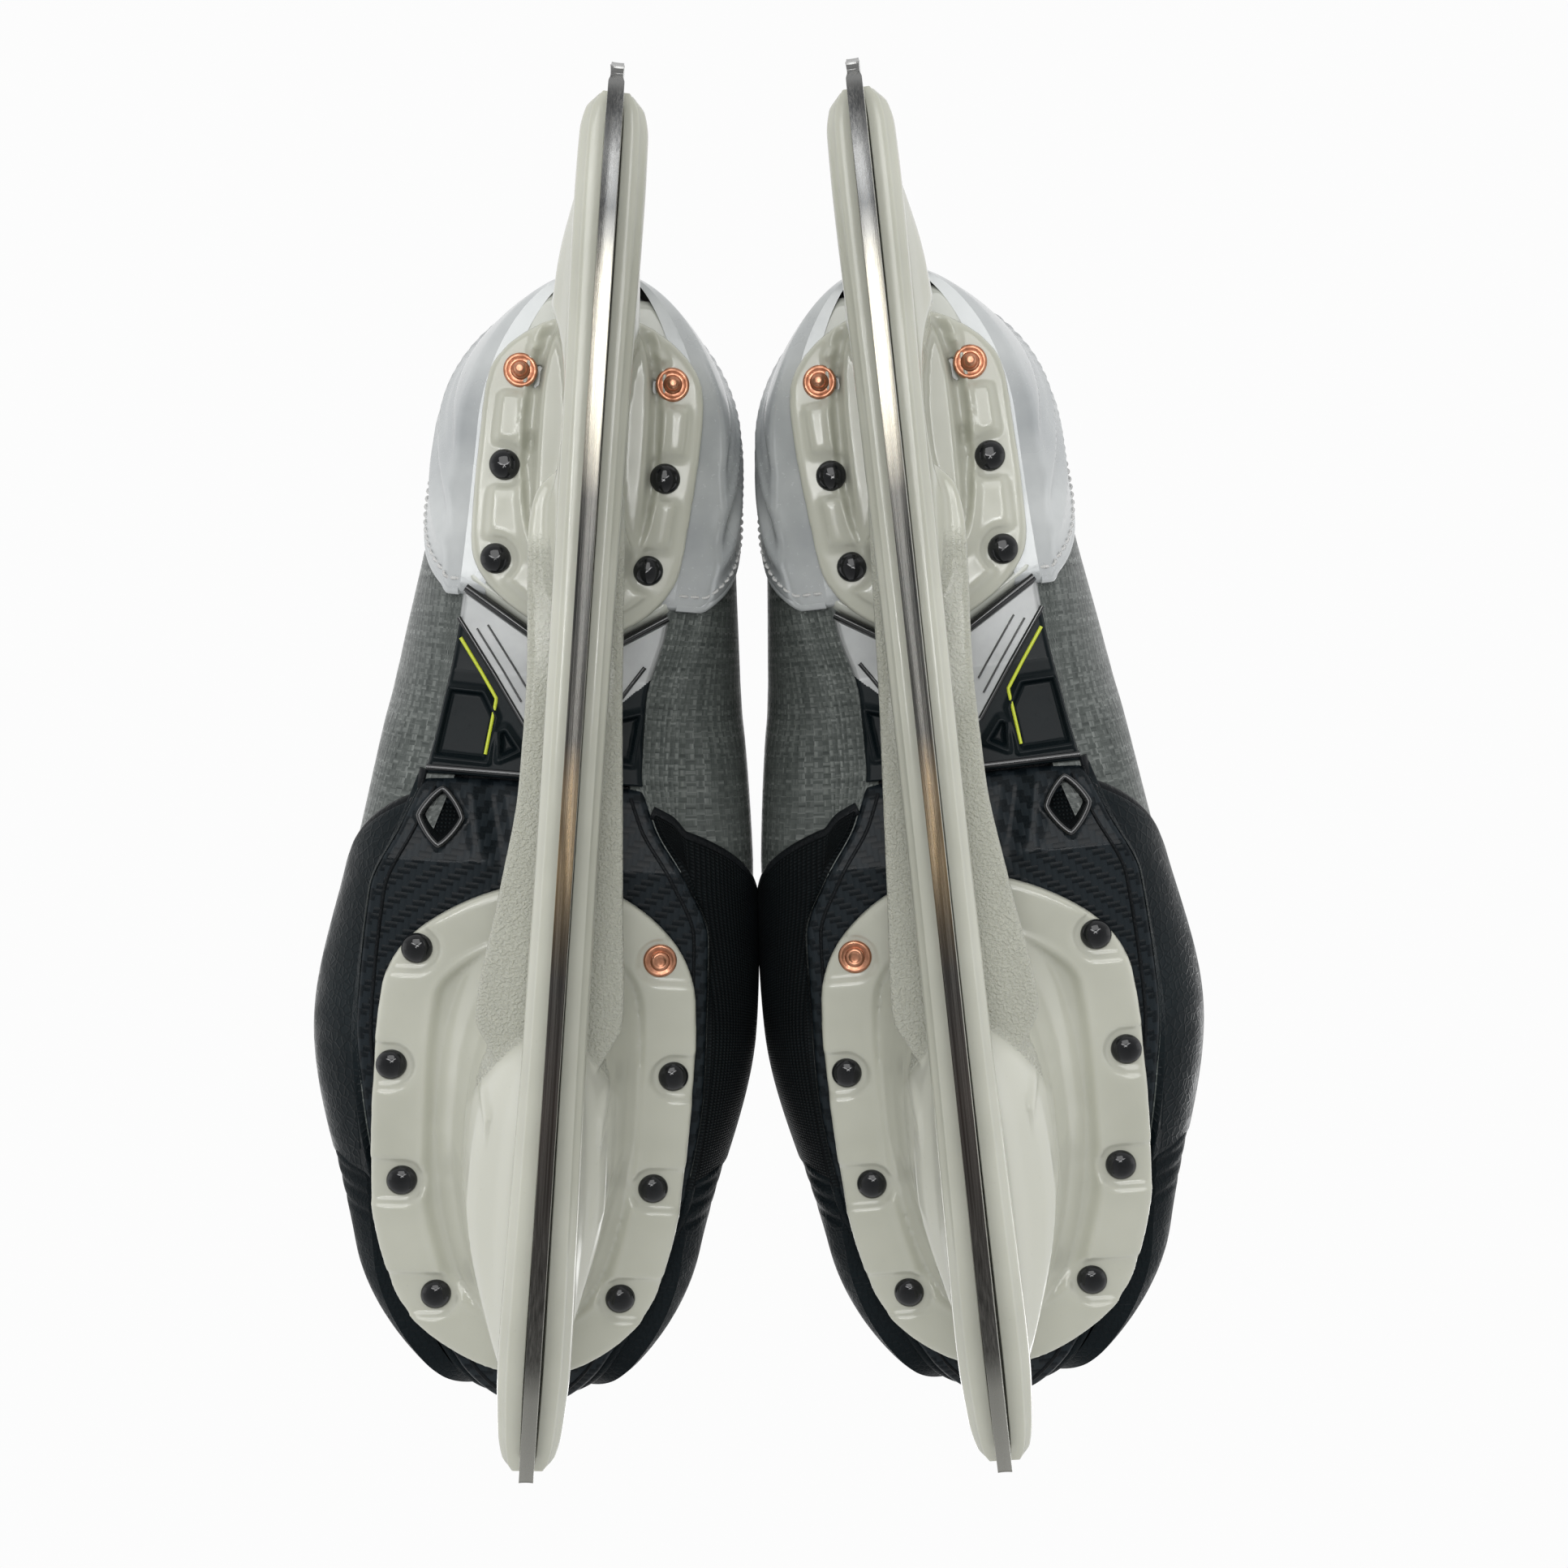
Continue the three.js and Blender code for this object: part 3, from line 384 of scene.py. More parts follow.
def stitches(part, line, normals_at, pitch=2.6, radius=0.33, lift=0.35, slot=0):
    """A row of thread stitches: short beads that dip at both ends."""
    fine = resample(line, 0.2)
    d = np.r_[0, np.cumsum(np.linalg.norm(np.diff(fine, axis=0), axis=1))]
    count = int(d[-1] / pitch)
    ups = normals_at(fine)
    for i in range(count):
        at = np.linspace(i * pitch + 0.25, i * pitch + 0.25 + pitch * 0.68, 6)
        pts = np.stack([np.interp(at, d, fine[:, k]) for k in range(3)], -1)
        up = np.stack([np.interp(at, d, ups[:, k]) for k in range(3)], -1)
        bow = np.array([-0.25, 0.6, 1, 1, 0.6, -0.25])[:, None]
        tube(part, pts + up * bow * lift, radius, 6, slot)


def lathe(part, profile, x, y, z, sides=32, slot=0, tilt=None):
    """A round piece from (radius, height) pairs about the z axis. Heights grow downward."""
    angle = np.linspace(0, 2 * math.pi, sides, endpoint=False)
    rows = []
    for radius, depth in profile:
        rows.append(np.stack([radius * np.cos(angle), radius * np.sin(angle), np.full(sides, -depth)], -1))
    points = np.array(rows)
    if tilt is not None:
        points = points @ tilt.T
    part.grid(points + np.array([x, y, z]), slot, True, wrap=True)


def fill(part, loop, slot=0, flip=False):
    """Closes a convex or star-shaped loop of points with a fan."""
    loop = np.asarray(loop, float)
    n = len(loop)
    points = np.concatenate([loop, loop.mean(0)[None]])
    i = np.arange(n)
    tris = np.stack([i, (i + 1) % n, np.full(n, n)], -1)
    part.add(points, tris[:, ::-1] if flip else tris, slot)


# --- Materials ---


class Nodes:
    """A Principled material, with short names for the nodes that it is made of."""

    def __init__(self, name):
        self.material = bpy.data.materials.new(name)
        self.material.use_nodes = True
        self.tree = self.material.node_tree
        self.tree.nodes.clear()
        self.out = self.tree.nodes.new("ShaderNodeOutputMaterial")
        self.shader = self.tree.nodes.new("ShaderNodeBsdfPrincipled")
        self.tree.links.new(self.shader.outputs["BSDF"], self.out.inputs["Surface"])

    def node(self, kind, **inputs):
        node = self.tree.nodes.new(kind)
        for key, value in inputs.items():
            if key.startswith("_"):
                setattr(node, key[1:], value)
        for key, value in inputs.items():
            if not key.startswith("_"):
                self.put(node, key, value)
        return node

    def put(self, node, key, value):
        by_number = key[0] == "i" and key[1:].isdigit()
        socket = node.inputs[int(key[1:]) if by_number else key.replace("_", " ")]
        if isinstance(value, bpy.types.NodeSocket):
            self.tree.links.new(value, socket)
        else:
            socket.default_value = value

    def math(self, operation, a, b=0.0, c=0.0):
        node = self.node("ShaderNodeMath", _operation=operation)
        for k, v in enumerate((a, b, c)):
            if isinstance(v, bpy.types.NodeSocket):
                self.tree.links.new(v, node.inputs[k])
            else:
                node.inputs[k].default_value = v
        return node.outputs[0]

    def mul(self, a, b):
        return self.math("MULTIPLY", a, b)

    def add(self, a, b):
        return self.math("ADD", a, b)

    def sub(self, a, b):
        return self.math("SUBTRACT", a, b)

    def arch(self, a):
        """Rises from 0 to 1 and falls again over each whole step of a, as a yarn does in a weave."""
        return self.math("SINE", self.mul(self.math("FRACT", a), math.pi))

    def cells(self, a, b, kinds):
        """The kind of the cell at (a, b): it steps by one along both directions."""
        return self.math("FLOORED_MODULO", self.add(self.math("FLOOR", a), self.math("FLOOR", b)), kinds)

    def place(self):
        """The point in the skate's own frame, in metres."""
        return self.node("ShaderNodeAttribute", _attribute_name="place").outputs["Vector"]

    def mark(self):
        return self.node("ShaderNodeAttribute", _attribute_name="mark").outputs["Fac"]

    def uv(self):
        return self.node("ShaderNodeUVMap", _uv_map="mm").outputs["UV"]

    def split(self, vector):
        node = self.node("ShaderNodeSeparateXYZ", Vector=vector)
        return node.outputs

    def noise(self, vector, scale, detail=3.0, rough=0.5):
        node = self.node("ShaderNodeTexNoise", Vector=vector, Scale=scale, Detail=detail, Roughness=rough)
        return node.outputs["Fac"]

    def ramp(self, value, stops, mode="LINEAR"):
        node = self.node("ShaderNodeValToRGB", Fac=value)
        ramp = node.color_ramp
        ramp.interpolation = mode
        while len(ramp.elements) < len(stops):
            ramp.elements.new(0.5)
        for element, (at, color) in zip(ramp.elements, stops):
            element.position = at
            element.color = (*color, 1) if len(color) == 3 else color
        return node.outputs["Color"]

    def mix(self, fac, a, b):
        node = self.node("ShaderNodeMix", _data_type="RGBA")
        for k, v in ((0, fac), (6, a), (7, b)):
            if isinstance(v, bpy.types.NodeSocket):
                self.tree.links.new(v, node.inputs[k])
            else:
                node.inputs[k].default_value = (*v, 1) if k > 0 and len(v) == 3 else v
        return node.outputs[2]

    def range(self, value, a, b, c, d):
        node = self.node("ShaderNodeMapRange", Value=value, i1=a, i2=b, i3=c, i4=d)
        return node.outputs[0]

    def bump(self, height, distance, strength=1.0, normal=None):
        node = self.node("ShaderNodeBump", Height=height, Distance=distance, Strength=strength)
        if normal is not None:
            self.tree.links.new(normal, node.inputs["Normal"])
        return node.outputs["Normal"]

    def set(self, **inputs):
        for key, value in inputs.items():
            self.put(self.shader, key, value)
        return self.material


def holder_material():
    n = Nodes("holder plastic")
    p = n.place()
    mark = n.mark()
    tone = n.noise(p, 38.0, 3.0)
    color = n.mix(n.range(tone, 0.3, 0.7, 0.0, 1.0), (0.47, 0.475, 0.405), (0.54, 0.545, 0.47))
    # Painted highlight: where mark is negative, on the pedestal's dome, the plastic is painted lighter to stand
    # for light on the dome.
    color = n.mix(n.range(mark, -1.0, -0.05, 1.0, 0.0), color, (0.58, 0.585, 0.515))
    mark = n.math("MAXIMUM", mark, 0.0)
    speck = n.noise(p, 900.0, 2.0)
    color = n.mix(n.range(speck, 0.70, 0.78, 0.0, 0.22), color, (0.38, 0.37, 0.31))
    pebble = n.node("ShaderNodeTexNoise", Vector=p, Scale=1500.0, Detail=2.0, Roughness=0.55).outputs["Fac"]
    lumps = n.range(pebble, 0.38, 0.66, 0.0, 1.0)
    # Painted shade: the pits between the pebbles' lumps are painted darker.
    shade = n.mix(n.mul(mark, n.sub(1.0, lumps)), color, (0.47, 0.475, 0.41))
    rough = n.add(n.mul(mark, 0.3), n.range(n.noise(p, 210.0), 0.3, 0.7, 0.14, 0.24))
    fine = n.bump(n.noise(p, 240.0, 2.0), 0.00004, 0.35)
    normal = n.bump(n.mul(lumps, mark), 0.0003, 0.95, fine)
    return n.set(Base_Color=shade, Roughness=rough, Normal=normal, Coat_Weight=0.25, Coat_Roughness=0.08,
                 Subsurface_Weight=0.08, Subsurface_Radius=(0.004, 0.0035, 0.0025), Subsurface_Scale=0.5)


def steel_material(name, bands):
    n = Nodes(name)
    p = n.place()
    x, y, z = n.split(p)[:3]
    along = n.range(y, -0.145, 0.150, 0.0, 1.0)
    grainy = n.node("ShaderNodeCombineXYZ", X=n.mul(x, 9.0), Y=n.mul(y, 0.06),
                    Z=n.mul(z, 9.0)).outputs[0]
    streak = n.noise(grainy, 420.0, 4.0, 0.6)
    if bands:
        color = n.ramp(along, bands)
        color = n.mix(n.range(streak, 0.25, 0.75, 0.0, 0.4), color, (0.30, 0.29, 0.27))
    else:
        color = n.mix(streak, (0.62, 0.62, 0.62), (0.78, 0.78, 0.77))
    rough = n.range(streak, 0.3, 0.7, 0.16, 0.34)
    normal = n.bump(streak, 0.00003, 0.5)
    return n.set(Base_Color=color, Metallic=1.0, Roughness=rough, Normal=normal, Anisotropic=0.5)


# Tones painted along the ground face. They stand in for reflections that the lights should make.
STEEL_BANDS = [
    (0.0, (0.36, 0.36, 0.33)), (0.085, (0.32, 0.32, 0.29)), (0.115, (0.06, 0.06, 0.055)),
    (0.17, (0.035, 0.033, 0.03)), (0.30, (0.055, 0.042, 0.036)), (0.385, (0.03, 0.027, 0.025)),
    (0.415, (0.10, 0.072, 0.04)), (0.46, (0.31, 0.215, 0.11)), (0.515, (0.22, 0.155, 0.085)),
    (0.545, (0.045, 0.044, 0.04)), (0.63, (0.014, 0.016, 0.016)), (0.70, (0.03, 0.03, 0.028)),
    (0.755, (0.40, 0.37, 0.30)), (0.835, (0.52, 0.49, 0.41)), (0.862, (0.22, 0.22, 0.21)),
    (0.88, (0.07, 0.075, 0.08)), (0.915, (0.34, 0.345, 0.345)), (0.945, (0.07, 0.075, 0.08)),
    (1.0, (0.5, 0.5, 0.49)),
]


def rivet_material():
    n = Nodes("black rivet")
    p = n.place()
    color = n.mix(n.noise(p, 600.0), (0.004, 0.0045, 0.005), (0.012, 0.013, 0.015))
    rough = n.range(n.noise(p, 1500.0), 0.4, 0.8, 0.05, 0.16)
    return n.set(Base_Color=color, Roughness=rough, Specular_IOR_Level=0.35, Coat_Weight=0.2,
                 Coat_Roughness=0.03,
                 Normal=n.bump(n.noise(p, 800.0), 0.00002, 0.3))


def copper_material():
    n = Nodes("copper")
    p = n.place()
    tone = n.noise(p, 700.0, 4.0)
    color = n.mix(n.range(tone, 0.35, 0.7, 0, 1), (0.60, 0.30, 0.19), (0.38, 0.17, 0.10))
    return n.set(Base_Color=color, Metallic=1.0, Roughness=n.range(tone, 0.3, 0.7, 0.24, 0.45),
                 Normal=n.bump(n.noise(p, 1400.0, 3.0), 0.00006, 0.7))


def carbon_material():
    n = Nodes("carbon twill")
    x, y = n.split(n.place())[:2]
    cell = 1.0 / 0.0014
    turn = math.radians(4)
    c, s = math.cos(turn), math.sin(turn)
    a = n.mul(n.add(n.mul(x, c), n.mul(y, s)), cell)
    b = n.mul(n.sub(n.mul(y, c), n.mul(x, s)), cell)
    over = n.math("LESS_THAN", n.cells(a, b, 4.0), 2.0)
    bow = n.add(n.mul(over, n.arch(a)), n.mul(n.sub(1.0, over), n.arch(b)))
    grain = n.noise(n.place(), 3000.0, 2.0)
    color = n.mix(over, (0.0035, 0.006, 0.008), (0.011, 0.016, 0.020))
    color = n.mix(n.range(grain, 0.4, 0.7, 0.0, 0.3), color, (0.018, 0.024, 0.028))
    rough = n.add(n.mul(over, 0.09), n.range(grain, 0.3, 0.7, 0.28, 0.42))
    weave = n.bump(bow, 0.00014, 0.5)
    return n.set(Base_Color=color, Roughness=rough, Normal=weave, Specular_IOR_Level=0.12, Coat_Weight=0.1,
                 Coat_Roughness=n.range(n.noise(n.place(), 60.0), 0.3, 0.7, 0.06, 0.16),
                 Coat_Normal=n.bump(n.noise(n.place(), 130.0, 3.0), 0.0002, 0.5))


def quarter_material():
    n = Nodes("woven composite")
    p = n.place()
    uv = n.uv()
    u, v = n.split(uv)[:2]
    wobble = n.mul(n.noise(p, 90.0, 2.0), 1.4)
    a = n.mul(n.add(u, wobble), 1 / 1.25)
    b = n.mul(n.add(v, wobble), 1 / 1.25)
    check = n.cells(a, b, 2.0)
    tape_u = n.node("ShaderNodeCombineXYZ", X=n.mul(u, 0.05), Y=n.mul(v, 0.9)).outputs[0]
    tape_v = n.node("ShaderNodeCombineXYZ", X=n.mul(u, 0.9), Y=n.mul(v, 0.05), Z=7.0).outputs[0]
    long = n.noise(tape_u, 1.1, 3.0, 0.65)
    tall = n.noise(tape_v, 1.1, 3.0, 0.65)
    blend = n.mix(check, long, tall)
    color = n.ramp(blend, [(0.28, (0.020, 0.026, 0.024)), (0.5, (0.072, 0.083, 0.077)),
                           (0.72, (0.215, 0.232, 0.220))])
    cloud = n.noise(p, 22.0, 2.0)
    color = n.mix(n.range(cloud, 0.3, 0.7, 0.0, 0.35), color, (0.13, 0.14, 0.135))
    bow = n.add(n.arch(a), n.arch(b))
    normal = n.bump(n.add(n.mul(bow, 0.5), blend), 0.00012, 0.7)
    rough = n.range(blend, 0.3, 0.7, 0.46, 0.3)
    return n.set(Base_Color=color, Roughness=rough, Normal=normal, Metallic=0.1, Specular_IOR_Level=0.25,
                 Coat_Weight=0.1, Coat_Roughness=0.25)


def leather_material(name, dark, light, scale=420.0, rough=(0.32, 0.5), depth=0.00025, sheen=0.0, coat=0.03):
    n = Nodes(name)
    p = n.place()
    cells = n.node("ShaderNodeTexVoronoi", Vector=p, Scale=scale,
                   _feature="DISTANCE_TO_EDGE").outputs["Distance"]
    grain = n.range(cells, 0.0, 0.16, 0.0, 1.0)
    soft = n.noise(p, 35.0, 4.0)
    color = n.mix(n.range(soft, 0.3, 0.7, 0.0, 1.0), dark, light)
    color = n.mix(n.mul(n.sub(1.0, grain), 0.35), color, tuple(0.6 * c for c in dark))
    wrinkle = n.noise(p, 75.0, 5.0, 0.6)
    normal = n.bump(n.add(n.mul(grain, 0.35), wrinkle), depth, 0.8)
    return n.set(Base_Color=color, Roughness=n.range(n.noise(p, 180.0, 3.0), 0.3, 0.7, rough[0], rough[1]),
                 Normal=normal, Specular_IOR_Level=0.08, Coat_Weight=coat, Coat_Roughness=0.25,
                 Sheen_Weight=sheen)


def mesh_material():
    n = Nodes("ballistic mesh")
    u, v = n.split(n.uv())[:2]
    cell = 1 / 0.85
    a, b = n.mul(u, cell), n.mul(v, cell)
    check = n.cells(a, b, 2.0)
    bow = n.mul(n.arch(a), n.arch(b))
    tone = n.noise(n.place(), 120.0, 3.0)
    color = n.mix(n.mul(bow, n.range(tone, 0.3, 0.7, 0.4, 1.0)), (0.001, 0.0016, 0.002),
                  (0.009, 0.014, 0.016))
    color = n.mix(n.mul(check, 0.4), color, (0.003, 0.0045, 0.0055))
    return n.set(Base_Color=color, Roughness=n.range(bow, 0.0, 1.0, 0.75, 0.42), Specular_IOR_Level=0.12,
                 Normal=n.bump(bow, 0.0003, 0.9))


def gloss_material(name, dark, light, rough=(0.08, 0.2), metallic=0.0, depth=0.00006, coat=0.5, scale=70.0,
                   level=0.5):
    n = Nodes(name)
    p = n.place()
    tone = n.noise(p, scale, 4.0)
    color = n.mix(n.range(tone, 0.3, 0.7, 0.0, 1.0), dark, light)
    scuff = n.noise(p, 900.0, 4.0, 0.7)
    rough_out = n.add(n.range(tone, 0.3, 0.7, rough[0], rough[1]), n.range(scuff, 0.6, 0.8, 0.0, 0.18))
    return n.set(Base_Color=color, Roughness=rough_out, Metallic=metallic,
                 Normal=n.bump(n.noise(p, 160.0, 3.0), depth, 0.6),
                 Coat_Weight=coat, Coat_Roughness=0.06, Specular_IOR_Level=level)


def fabric_material(name, dark, light, cell=1.1, rough=0.85, depth=0.0003, sheen=0.4):
    n = Nodes(name)
    u, v = n.split(n.uv())[:2]
    a, b = n.mul(u, 1 / cell), n.mul(v, 1 / cell)
    sa = n.math("ABSOLUTE", n.math("SINE", n.mul(a, math.pi)))
    sb = n.math("ABSOLUTE", n.math("SINE", n.mul(b, math.pi)))
    knit = n.mul(sa, sb)
    fuzz = n.noise(n.place(), 700.0, 5.0, 0.7)
    tone = n.noise(n.place(), 30.0, 3.0)
    color = n.mix(n.add(n.mul(knit, 0.6), n.mul(fuzz, 0.4)), dark, light)
    color = n.mix(n.range(tone, 0.35, 0.65, 0.0, 0.25), color, dark)
    return n.set(Base_Color=color, Roughness=rough, Sheen_Weight=sheen,
                 Normal=n.bump(n.add(knit, fuzz), depth, 0.8))


M = {
    "holder": holder_material(),
    "steel": steel_material("runner steel", STEEL_BANDS),
    "side_steel": steel_material("small steel", None),
    "rivet": rivet_material(),
    "copper": copper_material(),
    "carbon": carbon_material(),
    "quarter": quarter_material(),
    "mesh": mesh_material(),
    "black_leather": leather_material("black leather", (0.004, 0.0068, 0.0085), (0.0095, 0.0145, 0.017),
                                      520.0, (0.3, 0.48), 0.00035),
    "toe": leather_material("toe cap", (0.0035, 0.006, 0.0075), (0.009, 0.0135, 0.016), 700.0, (0.42, 0.62),
                            0.0003, 0.0, 0.0),
    "trim": leather_material("black trim", (0.005, 0.006, 0.007), (0.013, 0.015, 0.017), 600.0, (0.25, 0.4),
                             0.0002),
    "pearl": gloss_material("pearl leather", (0.38, 0.40, 0.41), (0.56, 0.58, 0.58), (0.2, 0.34), 0.15,
                            0.00022, 0.4, 45.0),
    "heel_white": gloss_material("white moulding", (0.46, 0.475, 0.425), (0.56, 0.575, 0.52), (0.1, 0.22)),
    "piping": gloss_material("black piping", (0.004, 0.005, 0.006), (0.012, 0.013, 0.015), (0.1, 0.2)),
    "panel_black": gloss_material("black moulded panel", (0.003, 0.006, 0.0075), (0.008, 0.0125, 0.0145),
                                  (0.2, 0.32), 0.0, 0.00008, 0.02, 70.0, 0.1),
    "silver": gloss_material("silver panel", (0.26, 0.27, 0.27), (0.40, 0.41, 0.41), (0.3, 0.42), 0.25,
                             0.00004, 0.15),
    "lime": gloss_material("lime line", (0.52, 0.60, 0.02), (0.62, 0.70, 0.05), (0.25, 0.35), 0.0, 0.00003,
                           0.2),
    "thread": fabric_material("thread", (0.55, 0.55, 0.54), (0.80, 0.80, 0.79), 0.5, 0.7, 0.0001, 0.2),
    "dark_thread": fabric_material("dark thread", (0.01, 0.01, 0.012), (0.03, 0.03, 0.034), 0.5, 0.7,
                                   0.0001, 0.2),
    "felt": fabric_material("tongue felt", (0.055, 0.058, 0.062), (0.13, 0.135, 0.14), 0.9, 0.95, 0.0005,
                            0.5),
    "lining": fabric_material("lining", (0.02, 0.022, 0.025), (0.06, 0.064, 0.07), 0.8, 0.9, 0.0003, 0.5),
    "footbed": fabric_material("footbed", (0.035, 0.037, 0.04), (0.09, 0.094, 0.10), 1.3, 0.85, 0.0002, 0.3),
    "guard": leather_material("guard plastic", (0.010, 0.011, 0.013), (0.022, 0.024, 0.027), 900.0,
                              (0.35, 0.5), 0.0001, 0.0, 0.1),
    "trigger": gloss_material("trigger plastic", (0.008, 0.009, 0.010), (0.02, 0.021, 0.023), (0.25, 0.4),
                              0.0, 0.00006, 0.1),
    "eyelet": gloss_material("eyelet", (0.05, 0.052, 0.055), (0.12, 0.122, 0.128), (0.2, 0.3), 0.9, 0.00003,
                             0.0),
}

# --- Runner: polished steel with a hollow-ground edge ---

def runner_edge(y):
    front = np.clip((-69 - y) / 71, 0, 1)
    rear = np.clip((y - 81) / 61, 0, 1)
    return 8 * front**2.4 + 8 * rear**2.4


def make_runner():
    part = Part()
    y = np.r_[np.linspace(-140.2, -139.6, 3), np.linspace(-139, 136, 231), np.linspace(136.6, 143.2, 20)]
    low = runner_edge(y)
    hook = np.clip((y - 136.0) / 7.2, 0, 1)
    low = np.minimum(low + 4.6 * hook**2 - 2.2 * np.exp(-(((y - 141.2) / 0.9) ** 2)), 14.0)
    top = np.where(y > 129, 17 + 8 * np.clip((136 - y) / 7, 0, 1), 25.0)
    top = np.where(y > 136, 17 - 2.4 * np.clip((y - 136) / 6, 0, 1) ** 1.5, top)
    top = np.where(y < -131, 18 + 7 * np.clip((y + 139) / 8, 0, 1), top)
    half = 1.5
    xs = [half, half, half - 0.06, 0.75, 0.0, -0.75, -half + 0.06, -half, -half, -half + 0.2, half - 0.2]
    rows = []
    for x, kind in zip(xs, ["top", "low", "edge", "hollow", "mid", "hollow", "edge", "low", "top", "cap",
                            "cap"]):
        z = {"top": top - 0.2, "low": low + 0.06, "edge": low, "hollow": low + 0.13, "mid": low + 0.17,
             "cap": top}[kind]
        slim = 1 - 0.22 * smooth(138.2, 139.6, y) + 0.12 * np.exp(-(((y - 141.6) / 0.8) ** 2))
        rows.append(np.stack([x * slim, y, z], -1))
    rings = np.stack(rows, 1)
    part.grid(rings, 1, True, wrap=True)
    ground_columns = range(1, 7)  # the ground face, from edge to edge
    part.slots[0][np.isin(np.arange(len(part.slots[0])) % len(xs), ground_columns)] = 0
    fill(part, rings[0], 1, False)
    fill(part, rings[-1], 1, True)
    build("runner", part, [M["steel"], M["side_steel"]], "runner", ["runner"], sharp=25)


make_runner()

# --- Holder: flanges, pedestal, bridge and rear tower fused and smoothed, with a crisp rail ---

FRONT_WIDTH, REAR_WIDTH = 73, 52


def share(width, table):
    """A curve whose heights are shares of a width."""
    return curve([(at, part * width) for at, part in table])


FRONT_OUT = share(FRONT_WIDTH, [(0, 0.36), (0.16, 0.46), (0.38, 0.55), (0.64, 0.56), (0.86, 0.53), (1, 0.46)])
FRONT_IN = share(FRONT_WIDTH, [(0, 0.3), (0.16, 0.37), (0.38, 0.43), (0.64, 0.44), (0.86, 0.41), (1, 0.36)])
REAR_OUT = share(REAR_WIDTH, [(0, 0.42), (0.3, 0.52), (0.7, 0.5), (1, 0.42)])
REAR_IN = share(REAR_WIDTH, [(0, 0.36), (0.3, 0.42), (0.7, 0.46), (1, 0.4)])
RIVETS = []  # across, along, place, row, and whether it is copper
for row, (outer, inner) in enumerate([(24, 18.6), (33.1, 24.4), (36.8, 27.2), (32.5, 22.2)]):
    y_row = -120.5 + 27.2 * row
    RIVETS.append((outer, y_row, "front_outer", row + 1, False))
    RIVETS.append((-inner, y_row, "front_inner", row + 1, row == 3))
for row, (outer, inner) in enumerate([(18, 16.3), (20.3, 16.1), (21.1, 13.7)]):
    y_row = 91.7 - 21.2 * row
    RIVETS.append((outer, y_row, "rear_outer", row + 1, row == 0))
    RIVETS.append((-inner, y_row, "rear_inner", row + 1, row == 0))


def flange_shape(front):
    low, high = FLANGE_FRONT if front else FLANGE_REAR
    out, inn = (FRONT_OUT, FRONT_IN) if front else (REAR_OUT, REAR_IN)
    ends = (22.0, 26.0) if front else (18.0, 16.0)
    length = high - low

    def halves(y):
        s = np.clip((y - low) / length, 0, 1)
        round_ = round_end(s * length, ends[0]) * round_end((1 - s) * length, ends[1])
        return out(s) * round_, inn(s) * round_

    return low, high, halves


def outline_distance(x, y, low, high, halves):
    ys = low + (high - low) * (1 - np.cos(np.linspace(0, math.pi, 160))) / 2
    o, i = halves(ys)
    loop = np.concatenate([np.stack([o, ys], -1), np.stack([-i, ys], -1)[::-1]])
    loop = resample(np.concatenate([loop, loop[:1]]), 0.8)
    best = np.full(x.size, 1e9)
    pts = np.stack([x.ravel(), y.ravel()], -1)
    for k in range(0, len(pts), 4000):
        d = np.linalg.norm(pts[k : k + 4000, None] - loop[None], axis=2)
        best[k : k + 4000] = d.min(1)
    return best.reshape(x.shape)


def flange_heights(x, y, front, top):
    low, high, halves = flange_shape(front)
    edge = outline_distance(x, y, low, high, halves)
    base = top - FLANGE_THICK
    pad = np.ones_like(x)
    for rx, ry, name, _, _ in RIVETS:
        if name.startswith("front") != front:
            continue
        direction = 1 if rx > 0 else -1
        dx = (x - rx) * direction
        dy = y - ry
        d = np.where(dx > 0, np.abs(dy), np.hypot(dx, dy))
        if not front:
            d = np.where(dx > 0, np.maximum(np.abs(dy), dx - 1.5), np.hypot(dx, dy))
        pad = np.minimum(pad, smooth(4.7, 5.7, d))
    if front:
        inside = smooth(12.0, 14.0, edge)
        height = base - 1.35 * pad * (1 - inside) + 0.5 * inside
        height = height - 0.45 * np.exp(-(((edge - 11.4) / 0.5) ** 2)) * pad
    else:
        rim = smooth(3.2, 4.4, edge)
        height = base - 1.3 * pad * rim
        for side in (1, -1):
            scoop = np.hypot((x - 10.5 * side - 1.0) / 5.2, (y - 78) / 25.0)
            height = height + 2.4 * smooth(1.0, 0.8, scoop) - 0.9 * np.exp(-(((scoop - 1.08) / 0.07) ** 2))
            height = height + 2.0 * smooth(1.0, 0.7, np.hypot((x - 13.6 * side - 0.6) / 1.3, (y - 76) / 3.2))
    roll = 1 - round_end(edge, 1.3)
    return height + roll * 1.5


def solid_object(name, points, faces):
    data = bpy.data.meshes.new(name)
    data.from_pydata(np.asarray(points, float).reshape(-1, 3).tolist(), [],
                     [list(map(int, f)) for f in faces])
    data.update()
    obj = bpy.data.objects.new(name, data)
    scene.collection.objects.link(obj)
    return obj


def loft_points(rings):
    """A closed body through rings of equal count, capped at both ends."""
    rings = np.asarray(rings, float)
    rows, n = rings.shape[:2]
    faces = [list(f) for f in grid_faces(rows, n, False, True)]
    faces.append(list(range(n))[::-1])
    faces.append([(rows - 1) * n + k for k in range(n)])
    return rings.reshape(-1, 3), faces


def super_ring(x0, x1, y0, y1, z, power=3.2, count=72, nose=0.0):
    """A rounded plan outline at a height; nose narrows the toe end."""
    angle = np.linspace(0, 2 * math.pi, count, endpoint=False)
    c, s = np.cos(angle), np.sin(angle)
    cx, cy = np.sign(c) * np.abs(c) ** (2 / power), np.sign(s) * np.abs(s) ** (2 / power)
    taper = 1 - nose * np.clip(-cy, 0, 1) ** 1.2
    x = (x0 + x1) / 2 + (x1 - x0) / 2 * cx * taper
    y = (y0 + y1) / 2 + (y1 - y0) / 2 * cy
    return np.stack([x, y, np.full(count, z)], -1)


